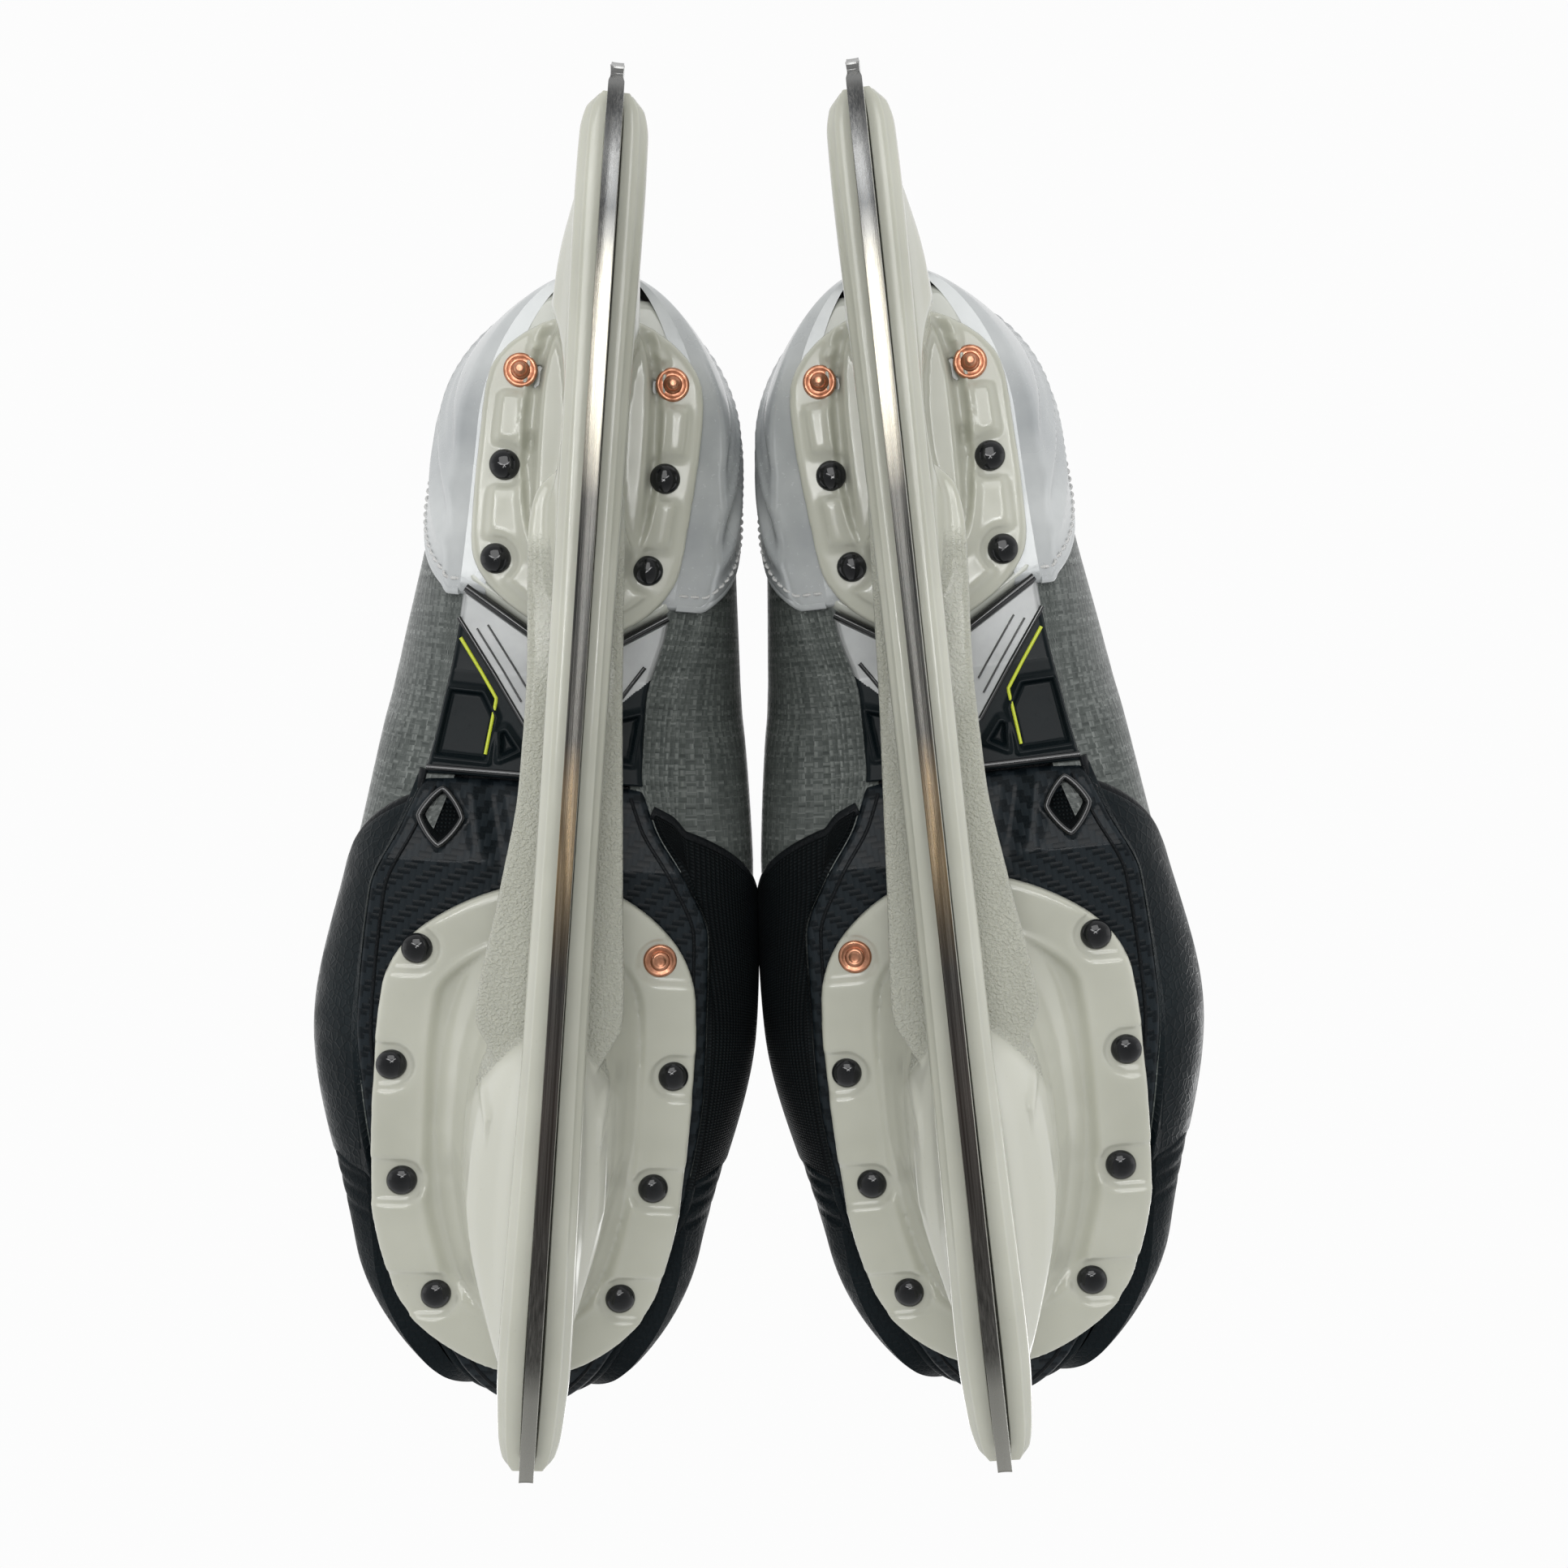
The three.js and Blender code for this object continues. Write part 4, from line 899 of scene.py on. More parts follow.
def flange_solid(front, top):
    low, high, halves = flange_shape(front)
    rows = 200 if front else 140
    cols = 110 if front else 80
    y = low + 0.02 + (high - low - 0.04) * (1 - np.cos(np.linspace(0, math.pi, rows))) / 2
    o, i = halves(y)
    s = (1 - np.cos(np.linspace(0, math.pi, cols))) / 2 * 0.5 + np.linspace(0, 1, cols) * 0.5
    x = o[:, None] + (-i - o)[:, None] * s[None]
    yy = np.broadcast_to(y[:, None], x.shape)
    bottom = np.stack([x, yy, flange_heights(x, yy, front, top)], -1)
    upper = np.stack([x, yy, np.full_like(x, top)], -1)
    rings = np.concatenate([bottom, upper[:, ::-1]], 1)
    return loft_points(rings)


def face_outward(data):
    """Turns a closed mesh's faces outward."""
    bm = bmesh.new()
    bm.from_mesh(data)
    bmesh.ops.recalc_face_normals(bm, faces=bm.faces)
    bm.to_mesh(data)
    bm.free()


def joined_mesh(name, objects):
    """One mesh that holds the meshes of several objects."""
    bm = bmesh.new()
    for obj in objects:
        bm.from_mesh(obj.data)
    data = bpy.data.meshes.new(name)
    bm.to_mesh(data)
    bm.free()
    return data


def evaluated(obj):
    """A mesh of the object with its modifiers applied."""
    depsgraph = bpy.context.evaluated_depsgraph_get()
    return bpy.data.meshes.new_from_object(obj.evaluated_get(depsgraph))


def vertex_values(data, name):
    values = np.zeros(len(data.vertices) * 3)
    data.vertices.foreach_get(name, values)
    return values.reshape(-1, 3)


def pedestal_body():
    pedestal = [
        super_ring(-7.0, 7.4, -137, -56, 26, 3.2, nose=0.15),
        super_ring(-8.8, 10.6, -136.5, -54, 29, 2.9, nose=0.3),
        super_ring(-11.6, 14.8, -135, -52.4, 31.4, 2.6, nose=0.42),
        super_ring(-13.0, 17.0, -133, -51.4, 33.4, 2.5, nose=0.48),
        super_ring(-13.8, 18.2, -131, -46, 37.5, 2.6, nose=0.5),
        super_ring(-14.6, 19.2, -130, -41, 43, 2.7, nose=0.45),
        super_ring(-17.0, 22.0, -129, -35, 48.6, 2.7, nose=0.34),
        super_ring(-20.5, 26.0, -130, -31, 52.5, 2.7, nose=0.26),
    ]
    return loft_points(pedestal[::-1])


def bridge_body():
    ys = np.r_[np.linspace(-60, -50, 10), np.linspace(-48, 56, 34), np.linspace(57.5, 70, 12)]
    right = curve([(-60, 11.0), (-55, 14.6), (-49, 17.5), (-21, 13.9), (2, 11.2), (22, 10.9), (56, 12.4),
                   (63, 11.4), (70, 5.5)])(ys)
    left = curve([(-60, 9.0), (-55, 11.6), (-49, 14.1), (-21, 12.2), (2, 10.6), (22, 9.2), (56, 7.4),
                  (63, 6.9), (70, 4.5)])(ys)
    bridge = []
    for y, r, l in zip(ys, right, left):
        bridge.append([(r, y, 33.2), (r + 0.2, y, 35), (r - 0.6, y, 37), (-l + 0.6, y, 37),
                       (-l - 0.2, y, 35), (-l, y, 33.2)])
    return loft_points(np.array(bridge))


def tower_body():
    rear = [
        super_ring(-6.4, 6.8, 40, 131, 27, 4),
        super_ring(-6.8, 8.6, 41, 129, 32, 4),
        super_ring(-7.6, 10.6, 44, 123, 36, 3.6),
        super_ring(-8.0, 11.4, 48, 117, 42, 3.4),
        super_ring(-8.0, 11.0, 50, 112, 50, 3.2),
        super_ring(-8.6, 11.0, 48, 108.5, 58, 3.2),
        super_ring(-11.0, 12.6, 43, 106.5, 65, 3.2),
        super_ring(-12.6, 14.2, 40, 105.0, 68.5, 3.2),
    ]
    return loft_points(rear[::-1])


def tower_cutter():
    """The finger window through the rear tower, and a lens-shaped scoop in each of its sides."""
    cutters = []
    for centre, reach in ((16.2, 9.6), (-13.8, 8.6)):
        rings = [super_ring(centre - reach, centre + reach, 51, 106, z, 2.1, 48) for z in (20.0, 65.5)]
        cutters.append(solid_object("holder_scoop", *loft_points(np.array(rings))))
    window = [super_ring(64, 94, 38, 56, x, 5, 40) for x in (-60.0, 60.0)]
    window = [np.stack([r[:, 2], r[:, 0], r[:, 1]], -1) for r in window]
    cutters.append(solid_object("holder_window", *loft_points(np.array(window))))
    data = joined_mesh("holder_cut", cutters)
    face_outward(data)
    for obj in cutters:
        bpy.data.objects.remove(obj)
    cutter = bpy.data.objects.new("holder_cut", data)
    scene.collection.objects.link(cutter)
    return cutter


def fused_body(pieces):
    """The pieces, the last one cut, as one smooth skin: points, normals and four-sided faces."""
    objects = [solid_object(f"holder_part_{k}", *piece) for k, piece in enumerate(pieces)]
    for obj in objects:
        face_outward(obj.data)
    tower, cutter = objects[-1], tower_cutter()
    cut = tower.modifiers.new("cut", "BOOLEAN")
    cut.operation, cut.object, cut.solver = "DIFFERENCE", cutter, "EXACT"
    cut.use_self = True  # the cutter's own bodies overlap
    tower_mesh = evaluated(tower)
    tower.modifiers.clear()
    tower.data = tower_mesh
    body = bpy.data.objects.new("holder_whole", joined_mesh("holder_whole", objects))
    scene.collection.objects.link(body)
    remesh = body.modifiers.new("remesh", "REMESH")
    remesh.mode, remesh.voxel_size, remesh.use_smooth_shade = "VOXEL", 0.62, True
    relax = body.modifiers.new("relax", "SMOOTH")
    relax.factor, relax.iterations = 0.5, 5
    done = evaluated(body)
    points, normals = vertex_values(done, "co"), vertex_values(done, "normal")
    faces = np.array([list(p.vertices) for p in done.polygons if len(p.vertices) == 4])
    for obj in objects + [cutter, body]:
        bpy.data.objects.remove(obj)
    return points, normals, faces


def add_rail(part):
    """The rail: a swept section with ledges either side of the steel, and the steel's channel."""
    y = np.r_[np.linspace(-143.4, -134, 24), np.linspace(-133, 130, 160), np.linspace(130.5, 139.4, 26)]
    s = (y + 143.4) / 282.8
    half = curve([(0, 4.6), (0.006, 5.8), (0.03, 7.0), (0.09, 7.8), (0.2, 7.3), (0.35, 6.6), (0.55, 6.3),
                  (0.8, 6.5),
                  (0.93, 6.9), (0.975, 6.7), (0.99, 5.9), (1, 3.6)])(s)
    sweep = np.abs(2 * s - 1) ** 8
    low = 14.8 + 3 * sweep
    high = 34 - 3 * sweep
    shape = [(0.255, 0, 0.6), (0.29, 0, 0.0), (0.68, 0, 0.0), (0.74, 0, 0.35), (0.76, 0, 1.6),
             (0.9, 0, 2.1), (0.97, 0, 2.9),
             (1.0, 0, 4.6), (1.0, 0, 8.0), (0.96, 0, 8.6), (0.96, 0, 9.6), (1.0, 0, 10.3), (1.0, 1, -3.0),
             (0.9, 1, -0.8), (0.6, 1, 0.0)]
    profile = [(w, kind, dz) for w, kind, dz in shape] + [(-w, kind, dz) for w, kind, dz in shape[::-1]]
    rings = np.stack([np.stack([w * half, y, (low if kind == 0 else high) + dz], -1) for w, kind,
                      dz in profile], 1)
    part.grid(rings, 0, False, wrap=False)
    channel = np.stack([rings[:, -1], rings[:, -1] + [0, 0, 8], rings[:, 0] + [0, 0, 8], rings[:, 0]], 1)
    part.grid(channel, 0, False, wrap=False)
    fill(part, rings[0], 0)
    fill(part, rings[-1], 0, True)


def make_holder():
    flanges = [flange_solid(True, TOP_FRONT), flange_solid(False, TOP_REAR)]
    points, normals, faces = fused_body(flanges + [pedestal_body(), bridge_body(), tower_body()])
    # Pebbled face: the bridge's underside, as far as the arc in front.
    x, y, z = points.T
    arc = -51.5 - 0.062 * (x - 1.5) ** 2
    pebble = smooth(-0.4, 0.4, y - arc) * smooth(56, 50, y) * (z < 38) * (z > 30.5)
    pebble = pebble * smooth(0.0, 0.4, -normals[:, 2] + 0.3)
    # Creases down the pedestal's dome.
    dome = (z < 46) & (z > 31) & (y < -60) & (y > -128)
    for x0, x1 in ((15.5, 6.6), (-12.0, -6.6)):
        t = np.clip((-62 - y) / 40, 0, 1)
        line = x0 + (x1 - x0) * t
        ridge = np.exp(-(((x - line) / 0.9) ** 2)) * dome * smooth(0.0, 0.1, t) * smooth(1.0, 0.9, t)
        points = points + normals * (0.7 * ridge)[:, None]
    # Painted highlight: the dome in front of the arc gets a negative mark, which the holder's material paints
    # lighter.
    painted_light_dome = smooth(0.0, -2.5, y - arc) * smooth(47, 41, z) * (np.abs(x) < 19)
    part = Part()
    part.add(points, faces, 0, value=pebble - painted_light_dome)
    add_rail(part)
    build("holder", part, [M["holder"]], "boot", ["front_holder", "rear_holder"])


make_holder()

# --- Rivets: black domes, and copper ones with a washer and a shank stub ---


def make_rivets():
    dome = [(3.45, -0.35), (3.5, 0.1), (3.42, 0.55), (3.1, 1.05), (2.5, 1.5), (1.7, 1.78), (0.85, 1.93),
            (0.0, 1.97)]
    washer = [(3.75, -0.3), (3.85, 0.0), (3.8, 0.35), (3.4, 0.62), (2.95, 0.5), (2.6, 0.3), (2.1, 0.35)]
    stub = [(2.1, 0.3), (2.15, 0.7), (1.75, 0.95), (1.45, 1.3), (1.42, 3.4), (1.2, 3.9), (0.6, 4.1),
            (0.0, 4.05)]
    flat = [(2.1, 0.3), (2.25, 0.75), (1.9, 1.05), (1.35, 1.15), (1.2, 0.95), (0.6, 0.9), (0.0, 0.9)]
    for x, y, name, row, copper in RIVETS:
        front = name.startswith("front")
        seat = (TOP_FRONT if front else TOP_REAR) - FLANGE_THICK
        part = Part()
        if copper:
            lathe(part, washer, x, y, seat, 40)
            lathe(part, flat if front else stub, x, y, seat, 32)
        else:
            lathe(part, dome, x, y, seat, 40)
        node = f"{name}_rivet_{row}"
        build(node, part, [M["copper" if copper else "rivet"]], "boot", [node])


make_rivets()

# --- Plates under the boot ---


def edge_halves(y, inset=0.0):
    u = (np.asarray(y, float) - TOE) / LENGTH
    run = u * LENGTH
    ends = round_end(run, TOE_ROUND) * round_end(LENGTH - run, HEEL_ROUND)
    return (PLATE[1](y) - inset) * ends, (PLATE[-1](y) - inset) * ends


def plate(part, y_front, y_back, lift, edge, slot, rows=90, cols=60, relief=None):
    """A layer under the boot between two lines across it, given as functions of x."""
    s = border_steps(120.0, edge, rows)
    t = border_steps(70.0, edge, cols)
    guess = y_front(0.0) + (y_back(0.0) - y_front(0.0)) * s
    o, i = edge_halves(guess)
    x = o[:, None] + (-i - o)[:, None] * t[None]
    y = y_front(x) + (y_back(x) - y_front(x)) * s[:, None]
    for _ in range(6):
        o, i = edge_halves(np.clip(y, TOE + 0.05, HEEL - 4.0))
        x = o + (-i - o) * t[None]
        y = y_front(x) + (y_back(x) - y_front(x)) * s[:, None]
    width = np.abs(x[:, -1:] - x[:, :1])
    dt = np.minimum(t, 1 - t)[None] * np.maximum(width, 1e-3)
    ds = np.minimum(s, 1 - s)[:, None] * 60.0
    roll = round_end(dt, edge) * round_end(ds, edge)
    z = sole_line(y) + 0.6 + (SOLE - 0.6) * (1 - roll) - lift * roll
    if relief is not None:
        z = z - relief(x, y)
    points = np.stack([x, y, z], -1)
    part.grid(points, slot, True, value=np.minimum(ds, dt))


def chevron_line(x):
    return 28.5 + 0.62 * np.sqrt((np.maximum(np.abs(x - 1.5) - 4.0, 0.0)) ** 2 + 0.01)


def make_outsole():
    part = Part()
    edge_y = -1.1
    vent_x, vent_y = 29.4, -9.6

    def relief(x, y):
        d = np.abs(x - vent_x) / 4.6 + np.abs(y - vent_y) / 5.9
        rim = np.exp(-(((d - 1.12) / 0.16) ** 2)) * 1.2
        hole = -3.0 * smooth(1.0, 0.86, d)
        ramp = smooth(-26, -10, y) * smooth(2, -3, y)
        crease = -0.9 * np.exp(-(((x - 17 - 0.25 * (y + 10)) / 2.4) ** 2)) * ramp
        crease = crease + 0.8 * np.exp(-(((x - 22 - 0.2 * (y + 10)) / 2.2) ** 2)) * ramp
        return rim + hole + crease

    plate(part, lambda x: TOE + 0.3 + 0 * x, lambda x: edge_y + 0 * x, 0.0, 1.4, 0, 220, 130, relief=relief)
    # The groove and bead that follow the sole's edge.
    ys = np.linspace(-148, -3, 150)
    inset = 3.6
    for side in (1, -1):
        o, i = edge_halves(ys)
        x = (o - inset) if side > 0 else -(i - inset)
        keep = np.abs(x) > 7
        line = np.stack([x, ys, sole_line(ys) + 0.5], -1)[keep]
        tube(part, line, 0.42, 8, 1, flat=0.6)
    build("outsole", part, [M["carbon"], M["trim"]], "boot", ["outsole"])
    # The vent's raised rim.
    rim = Part()
    angle = np.linspace(0, 2 * math.pi, 80, endpoint=False)
    c, s = np.cos(angle), np.sin(angle)
    r = 1 / (np.abs(c) ** 1.25 + np.abs(s) ** 1.25) ** (1 / 1.25)
    loop = np.stack([vent_x + 4.8 * r * c, vent_y + 6.2 * r * s, sole_line(vent_y + 6.2 * r * s) - 0.4], -1)
    tube(rim, loop, 0.75, 10, 0, closed=True)
    well = np.stack([loop, loop + (np.array([vent_x, vent_y, 0]) - loop) * [0.16, 0.16, 0] + [0, 0, 0.3],
                     loop + (np.array([vent_x, vent_y, 0]) - loop) * [0.3, 0.3, 0] + [0, 0, 3.6]], 0)
    rim.grid(well, 1, False, wrap=True)
    fill(rim, well[-1], 1, False)
    build("vent_rim", rim, [M["piping"], M["mesh"]], "boot", ())


make_outsole()


def make_heel_plate():
    part = Part()

    def relief(x, y):
        return 0.5 * np.exp(-((y - chevron_line(x) - 3.0) / 1.6) ** 2)

    plate(part, lambda x: chevron_line(x) + 0.8, lambda x: 110.5 + 0 * x, 0.3, 2.2, 0, 110, 70, relief=relief)
    build("heel_plate", part, [M["heel_white"]], "boot", ["heel_plate"])
    piping = Part()
    xs = np.linspace(31.5, -25.5, 90)
    ys = chevron_line(xs)
    o, i = edge_halves(ys)
    keep = (xs < o - 0.2) & (xs > -i + 0.2)
    line = np.stack([xs, ys, sole_line(ys) + 0.25], -1)[keep]
    tube(piping, line, 0.95, 10, 0)
    build("heel_piping", piping, [M["piping"]], "boot", ())


make_heel_plate()


def inside_polygon(x, y, polygon):
    inside = np.zeros(x.shape, bool)
    n = len(polygon)
    for k in range(n):
        (x0, y0), (x1, y1) = polygon[k], polygon[(k + 1) % n]
        hit = ((y0 > y) != (y1 > y)) & (x < (x1 - x0) * (y - y0) / (y1 - y0 + 1e-12) + x0)
        inside ^= hit
    return inside


def polygon_distance(x, y, polygon):
    """Signed distance to a polygon, positive inside."""
    best = np.full(x.shape, 1e9)
    n = len(polygon)
    for k in range(n):
        a, b = np.array(polygon[k], float), np.array(polygon[(k + 1) % n], float)
        d = b - a
        t = np.clip(((x - a[0]) * d[0] + (y - a[1]) * d[1]) / (d @ d), 0, 1)
        best = np.minimum(best, np.hypot(x - a[0] - t * d[0], y - a[1] - t * d[1]))
    return np.where(inside_polygon(x, y, polygon), best, -best)


POCKETS = [
    [(32.2, 3.5), (20.2, 3.0), (19.0, 13.0), (22.2, 18.5), (30.0, 18.8)],
    [(17.6, 3.6), (13.0, 6.0), (16.6, 10.6), (17.9, 9.6)],
    [(-13.0, 4.5), (-8.0, 5.0), (-7.5, 14.0), (-14.5, 16.0)],
]


def silver_line(x):
    """Where the silver panel meets the black one."""
    lateral = 35.0 - 1.42 * (28.8 - x)
    medial = 26.5 - 0.9 * np.maximum(x + 19.0, 0.0)
    return np.maximum(np.where(x > 2, lateral, medial), 2.0)


def make_midfoot():
    part = Part()

    def relief(x, y):
        out = np.zeros_like(x)
        for polygon in POCKETS:
            d = polygon_distance(x, y, polygon)
            out += 0.7 * np.exp(-(((d + 0.2) / 0.7) ** 2)) - 1.3 * smooth(0.0, 1.2, d)
        return out

    plate(part, lambda x: -0.6 + 0 * x, lambda x: chevron_line(x) - 0.8, 0.3, 1.0, 0, 130, 110, relief=relief)
    x, y = part.points[0][:, 0], part.points[0][:, 1]
    faces = part.faces[0]
    middle_x, middle_y = x[faces].mean(1), y[faces].mean(1)
    base = part.slots[0]
    base[middle_y > np.maximum(silver_line(middle_x), 0)] = 1

    # Thin lines: a black groove along the silver edge, two on the silver, and the lime chevron.
    def strip(points, radius, slot, drop=0.55):
        line = resample(np.array([(px, py, 0.0) for px, py in points]), 0.8)
        line[:, 2] = sole_line(line[:, 1]) + 0.3 - drop + radius * 0.4
        tube(part, line, radius, 8, slot, flat=0.7)

    strip([(28.9, 35.2), (12.0, 11.2)], 0.55, 2, 0.3)
    strip([(-14.6, 26.8), (-7.5, 16.2)], 0.55, 2, 0.3)
    strip([(24.6, 33.0), (13.4, 17.0)], 0.22, 2)
    strip([(22.2, 34.0), (12.6, 20.4)], 0.22, 2)
    strip([(28.2, 30.6), (19.1, 17.2), (20.6, 4.6)], 0.42, 3, 0.45)
    strip([(33.6, 0.9), (11.5, 0.6), (-10.8, 1.4)], 0.8, 2, 0.3)
    build("midfoot_panel", part, [M["panel_black"], M["silver"], M["piping"], M["lime"]], "boot",
          ["midfoot_panel"])


make_midfoot()

# --- Boot sides ---

CAP_LOW, CAP_HIGH = 0.21, 0.27  # toe cap's back edge at the sole and at the top
THROAT = curve([(0.26, 57.8), (0.34, 62.0), (0.42, 73.0), (0.5, 86.0), (0.56, 103.9), (0.6, 128),
                (0.63, 147)])
COLLAR = curve([(0.62, 146), (0.64, 148), (0.69, 147), (0.77, 132), (0.9, 136.5), (1.0, 139.0)])


def rim_height(u):
    return np.where(u < 0.63, THROAT(np.minimum(u, 0.63)), COLLAR(np.maximum(u, 0.63)))


def side_place(side):
    return lambda u, h: section(side, u, h)


def cap_station(h):
    return CAP_LOW + (CAP_HIGH - CAP_LOW) * np.clip((h + 20) / 110, 0, 1)


def line_u(u0, u1, h, n=60):
    """A line along the boot at one height."""
    return np.stack([np.linspace(u0, u1, n), np.full(n, float(h))], -1)


def make_quarters():
    part = Part()
    for side in (1, -1):
        place = side_place(side)
        u = np.r_[np.linspace(0.225, 0.93, 150), 1 - 0.07 * (1 - np.sin(np.linspace(0, math.pi / 2, 34)))[1:]]
        t = np.linspace(0, 1, 70)
        rim = rim_height(u)
        low = np.linspace(-UNDER, 0, 12)[:-1]
        h = np.concatenate([np.broadcast_to(low, (len(u), len(low))), rim[:, None] * (t[None] ** 1.15)], 1)
        points = place(np.broadcast_to(u[:, None], h.shape), h)
        tuck = smooth(0.86, 0.95, u)[:, None] * smooth(84, 70, h)  # in behind the heel cover
        points[..., 0] *= 1 - 0.05 * tuck
        points[..., 1] -= 1.8 * tuck
        points[..., 2] += 1.2 * tuck * smooth(6, 0, h)
        uv = np.stack([np.broadcast_to((u * LENGTH)[:, None], h.shape), h], -1)
        part.grid(points, 0, side > 0, uv=uv)
        # The turn in behind the sole plates.
        under = np.stack([points[:, 0], points[:, 0] * [0.8, 1, 1] + [0, 0, 0.6]], 1)
        part.grid(under, 0, side < 0)
    build("quarter_shell", part, [M["quarter"]], "boot", ["quarter_shell"])


make_quarters()


def surface_normals(points):
    """Rough outward directions at points on the boot."""
    centre = np.stack([np.zeros(len(points)), points[:, 1], points[:, 2] * 0 + points[:, 2].mean()], -1)
    n = points - centre
    n[:, 1] *= 0.15
    return n / np.maximum(np.linalg.norm(n, axis=1, keepdims=True), 1e-9)


def arc_station(side, h):
    """Front border of the grey composite: an arc that runs forward as it rises."""
    start = -6.0 if side < 0 else 0.5
    y = start - (0.35 if side < 0 else 0.5) * (h + UNDER) - 21.0 * np.clip((h + 4) / 40, 0, 1.3) ** 1.1
    return (y - TOE) / LENGTH


def make_overlays():
    """Black panels over the forefoot: leather outside, ballistic mesh inside, each with a rolled border."""
    for side, name, material in ((1, "outer_forefoot_panel", "black_leather"),
                                 (-1, "inner_forefoot_panel", "mesh")):
        part = Part()
        place = side_place(side)
        hs = np.linspace(-UNDER, 50, 66)
        back = np.stack([arc_station(side, hs), hs], -1)
        front = np.stack([cap_station(hs) - 0.004, hs], -1)
        bottom = line_u(front[0, 0], back[0, 0], -UNDER)
        top = line_u(front[-1, 0], back[-1, 0], 50.0)
        panel(part, place, (bottom, top, front, back), 1.5, 1.4, -0.5, 0, side, 1.3)
        trim = Part()
        line = place(back[:, 0], back[:, 1])
        ups = surface_normals(line)
        tube(trim, line + ups * 0.5, 1.5, 10, 0, flat=0.55, ups=ups)
        inner = place(back[:, 0] - 0.016, back[:, 1])
        stitches(trim, inner[4:], surface_normals, 2.4, 0.26, 1.25, 1)
        build(name, part, [M[material]], "boot", ())
        build(name.replace("panel", "trim"), trim, [M["trim"], M["dark_thread"]], "boot", ())
        # The upper forefoot, above the side panel, up to the throat.
        upper = Part()
        us = np.linspace(0.255, float(arc_station(side, 46.0)), 40)
        bottom = np.stack([us, np.full_like(us, 46.0)], -1)
        top = np.stack([us, THROAT(us) - 1.0], -1)
        left = np.stack([np.full(20, us[0]), np.linspace(46.0, THROAT(us[0]) - 1.0, 20)], -1)
        right = np.stack([np.full(20, us[-1]), np.linspace(46.0, THROAT(us[-1]) - 1.0, 20)], -1)
        panel(upper, place, (bottom, top, left, right), 0.9, 1.0, -0.5, 0, side, 1.5)
        build(name.replace("panel", "upper_panel"), upper, [M["trim"]], "boot", ())


make_overlays()


def make_toe_cap():
    part = Part()
    u = np.r_[0.0002 + 0.1098 * (1 - np.cos(np.linspace(0, math.pi / 2, 50))), np.linspace(0.112, 0.245, 50)]
    t = np.linspace(0, 1, 180)
    U, T = np.meshgrid(u, t, indexing="ij")
    # The back edge leans: it is further back at the top.
    shoulder = np.clip(np.minimum(T, 1 - T) * 2 / 0.5, 0, 1)
    stretch = CAP_LOW + (CAP_HIGH - CAP_LOW) * (0.2 + 0.75 * shoulder)
    U2 = U / 0.245 * stretch
    points = ring(U2, T)
    out = outward(points, points - points.mean((0, 1)))
    back = (stretch - U2) * LENGTH
    low = np.minimum(T, 1 - T) * 2
    crease = np.zeros_like(T)
    fade = smooth(0.75, 0.15, low)
    for at in (3.0, 7.0, 11.5):
        crease += -0.55 * np.exp(-(((back - at - 2.5 * low) / 0.8) ** 2)) * fade
    tip = round_end(U2 * LENGTH + 0.02, 9.0)
    middle = floor_line(points[..., 1]) + 19.0
    points[..., 2] = middle + (points[..., 2] - middle) * tip
    shell = 0.9 * round_end(back + 0.01, 2.0)
    bulge = 1.0 * np.exp(-(((low - 0.06) / 0.06) ** 2))
    points = points + out * (shell + crease + bulge)[..., None]
    part.grid(points, 0, True)
    fill(part, points[0], 0)
    for column in (0, -1):
        rim = points[:, column]
        under = np.stack([rim, rim * [0.8, 1, 1] + [0, 1.2, 0.3]], 1)
        part.grid(under, 0, column == 0)
    # A bead along the sole's edge, round the toe.
    ys = np.r_[TOE + 0.4 + 16 * (1 - np.cos(np.linspace(0, math.pi / 2, 40))), np.linspace(-134, -94, 40)]
    o, i = edge_halves(ys, -0.6)
    outer = np.stack([o, ys, floor_line(ys) - 0.4 + 10 * (1 - round_end(ys - TOE, 12.0))], -1)
    inner = np.stack([-i, ys, outer[:, 2]], -1)
    tube(part, np.concatenate([outer[::-1], inner]), 1.3, 10, 0)
    build("toe_cap", part, [M["toe"]], "boot", ["toe_cap"])


make_toe_cap()


def counter_front(h):
    """Front edge of the heel cover, as a station, by height."""
    y = curve([(-2, 40.5), (0, 42), (6, 47), (14, 54.5), (22, 63), (32, 73), (60, 88), (88, 98)])(h)
    return (y - TOE) / LENGTH


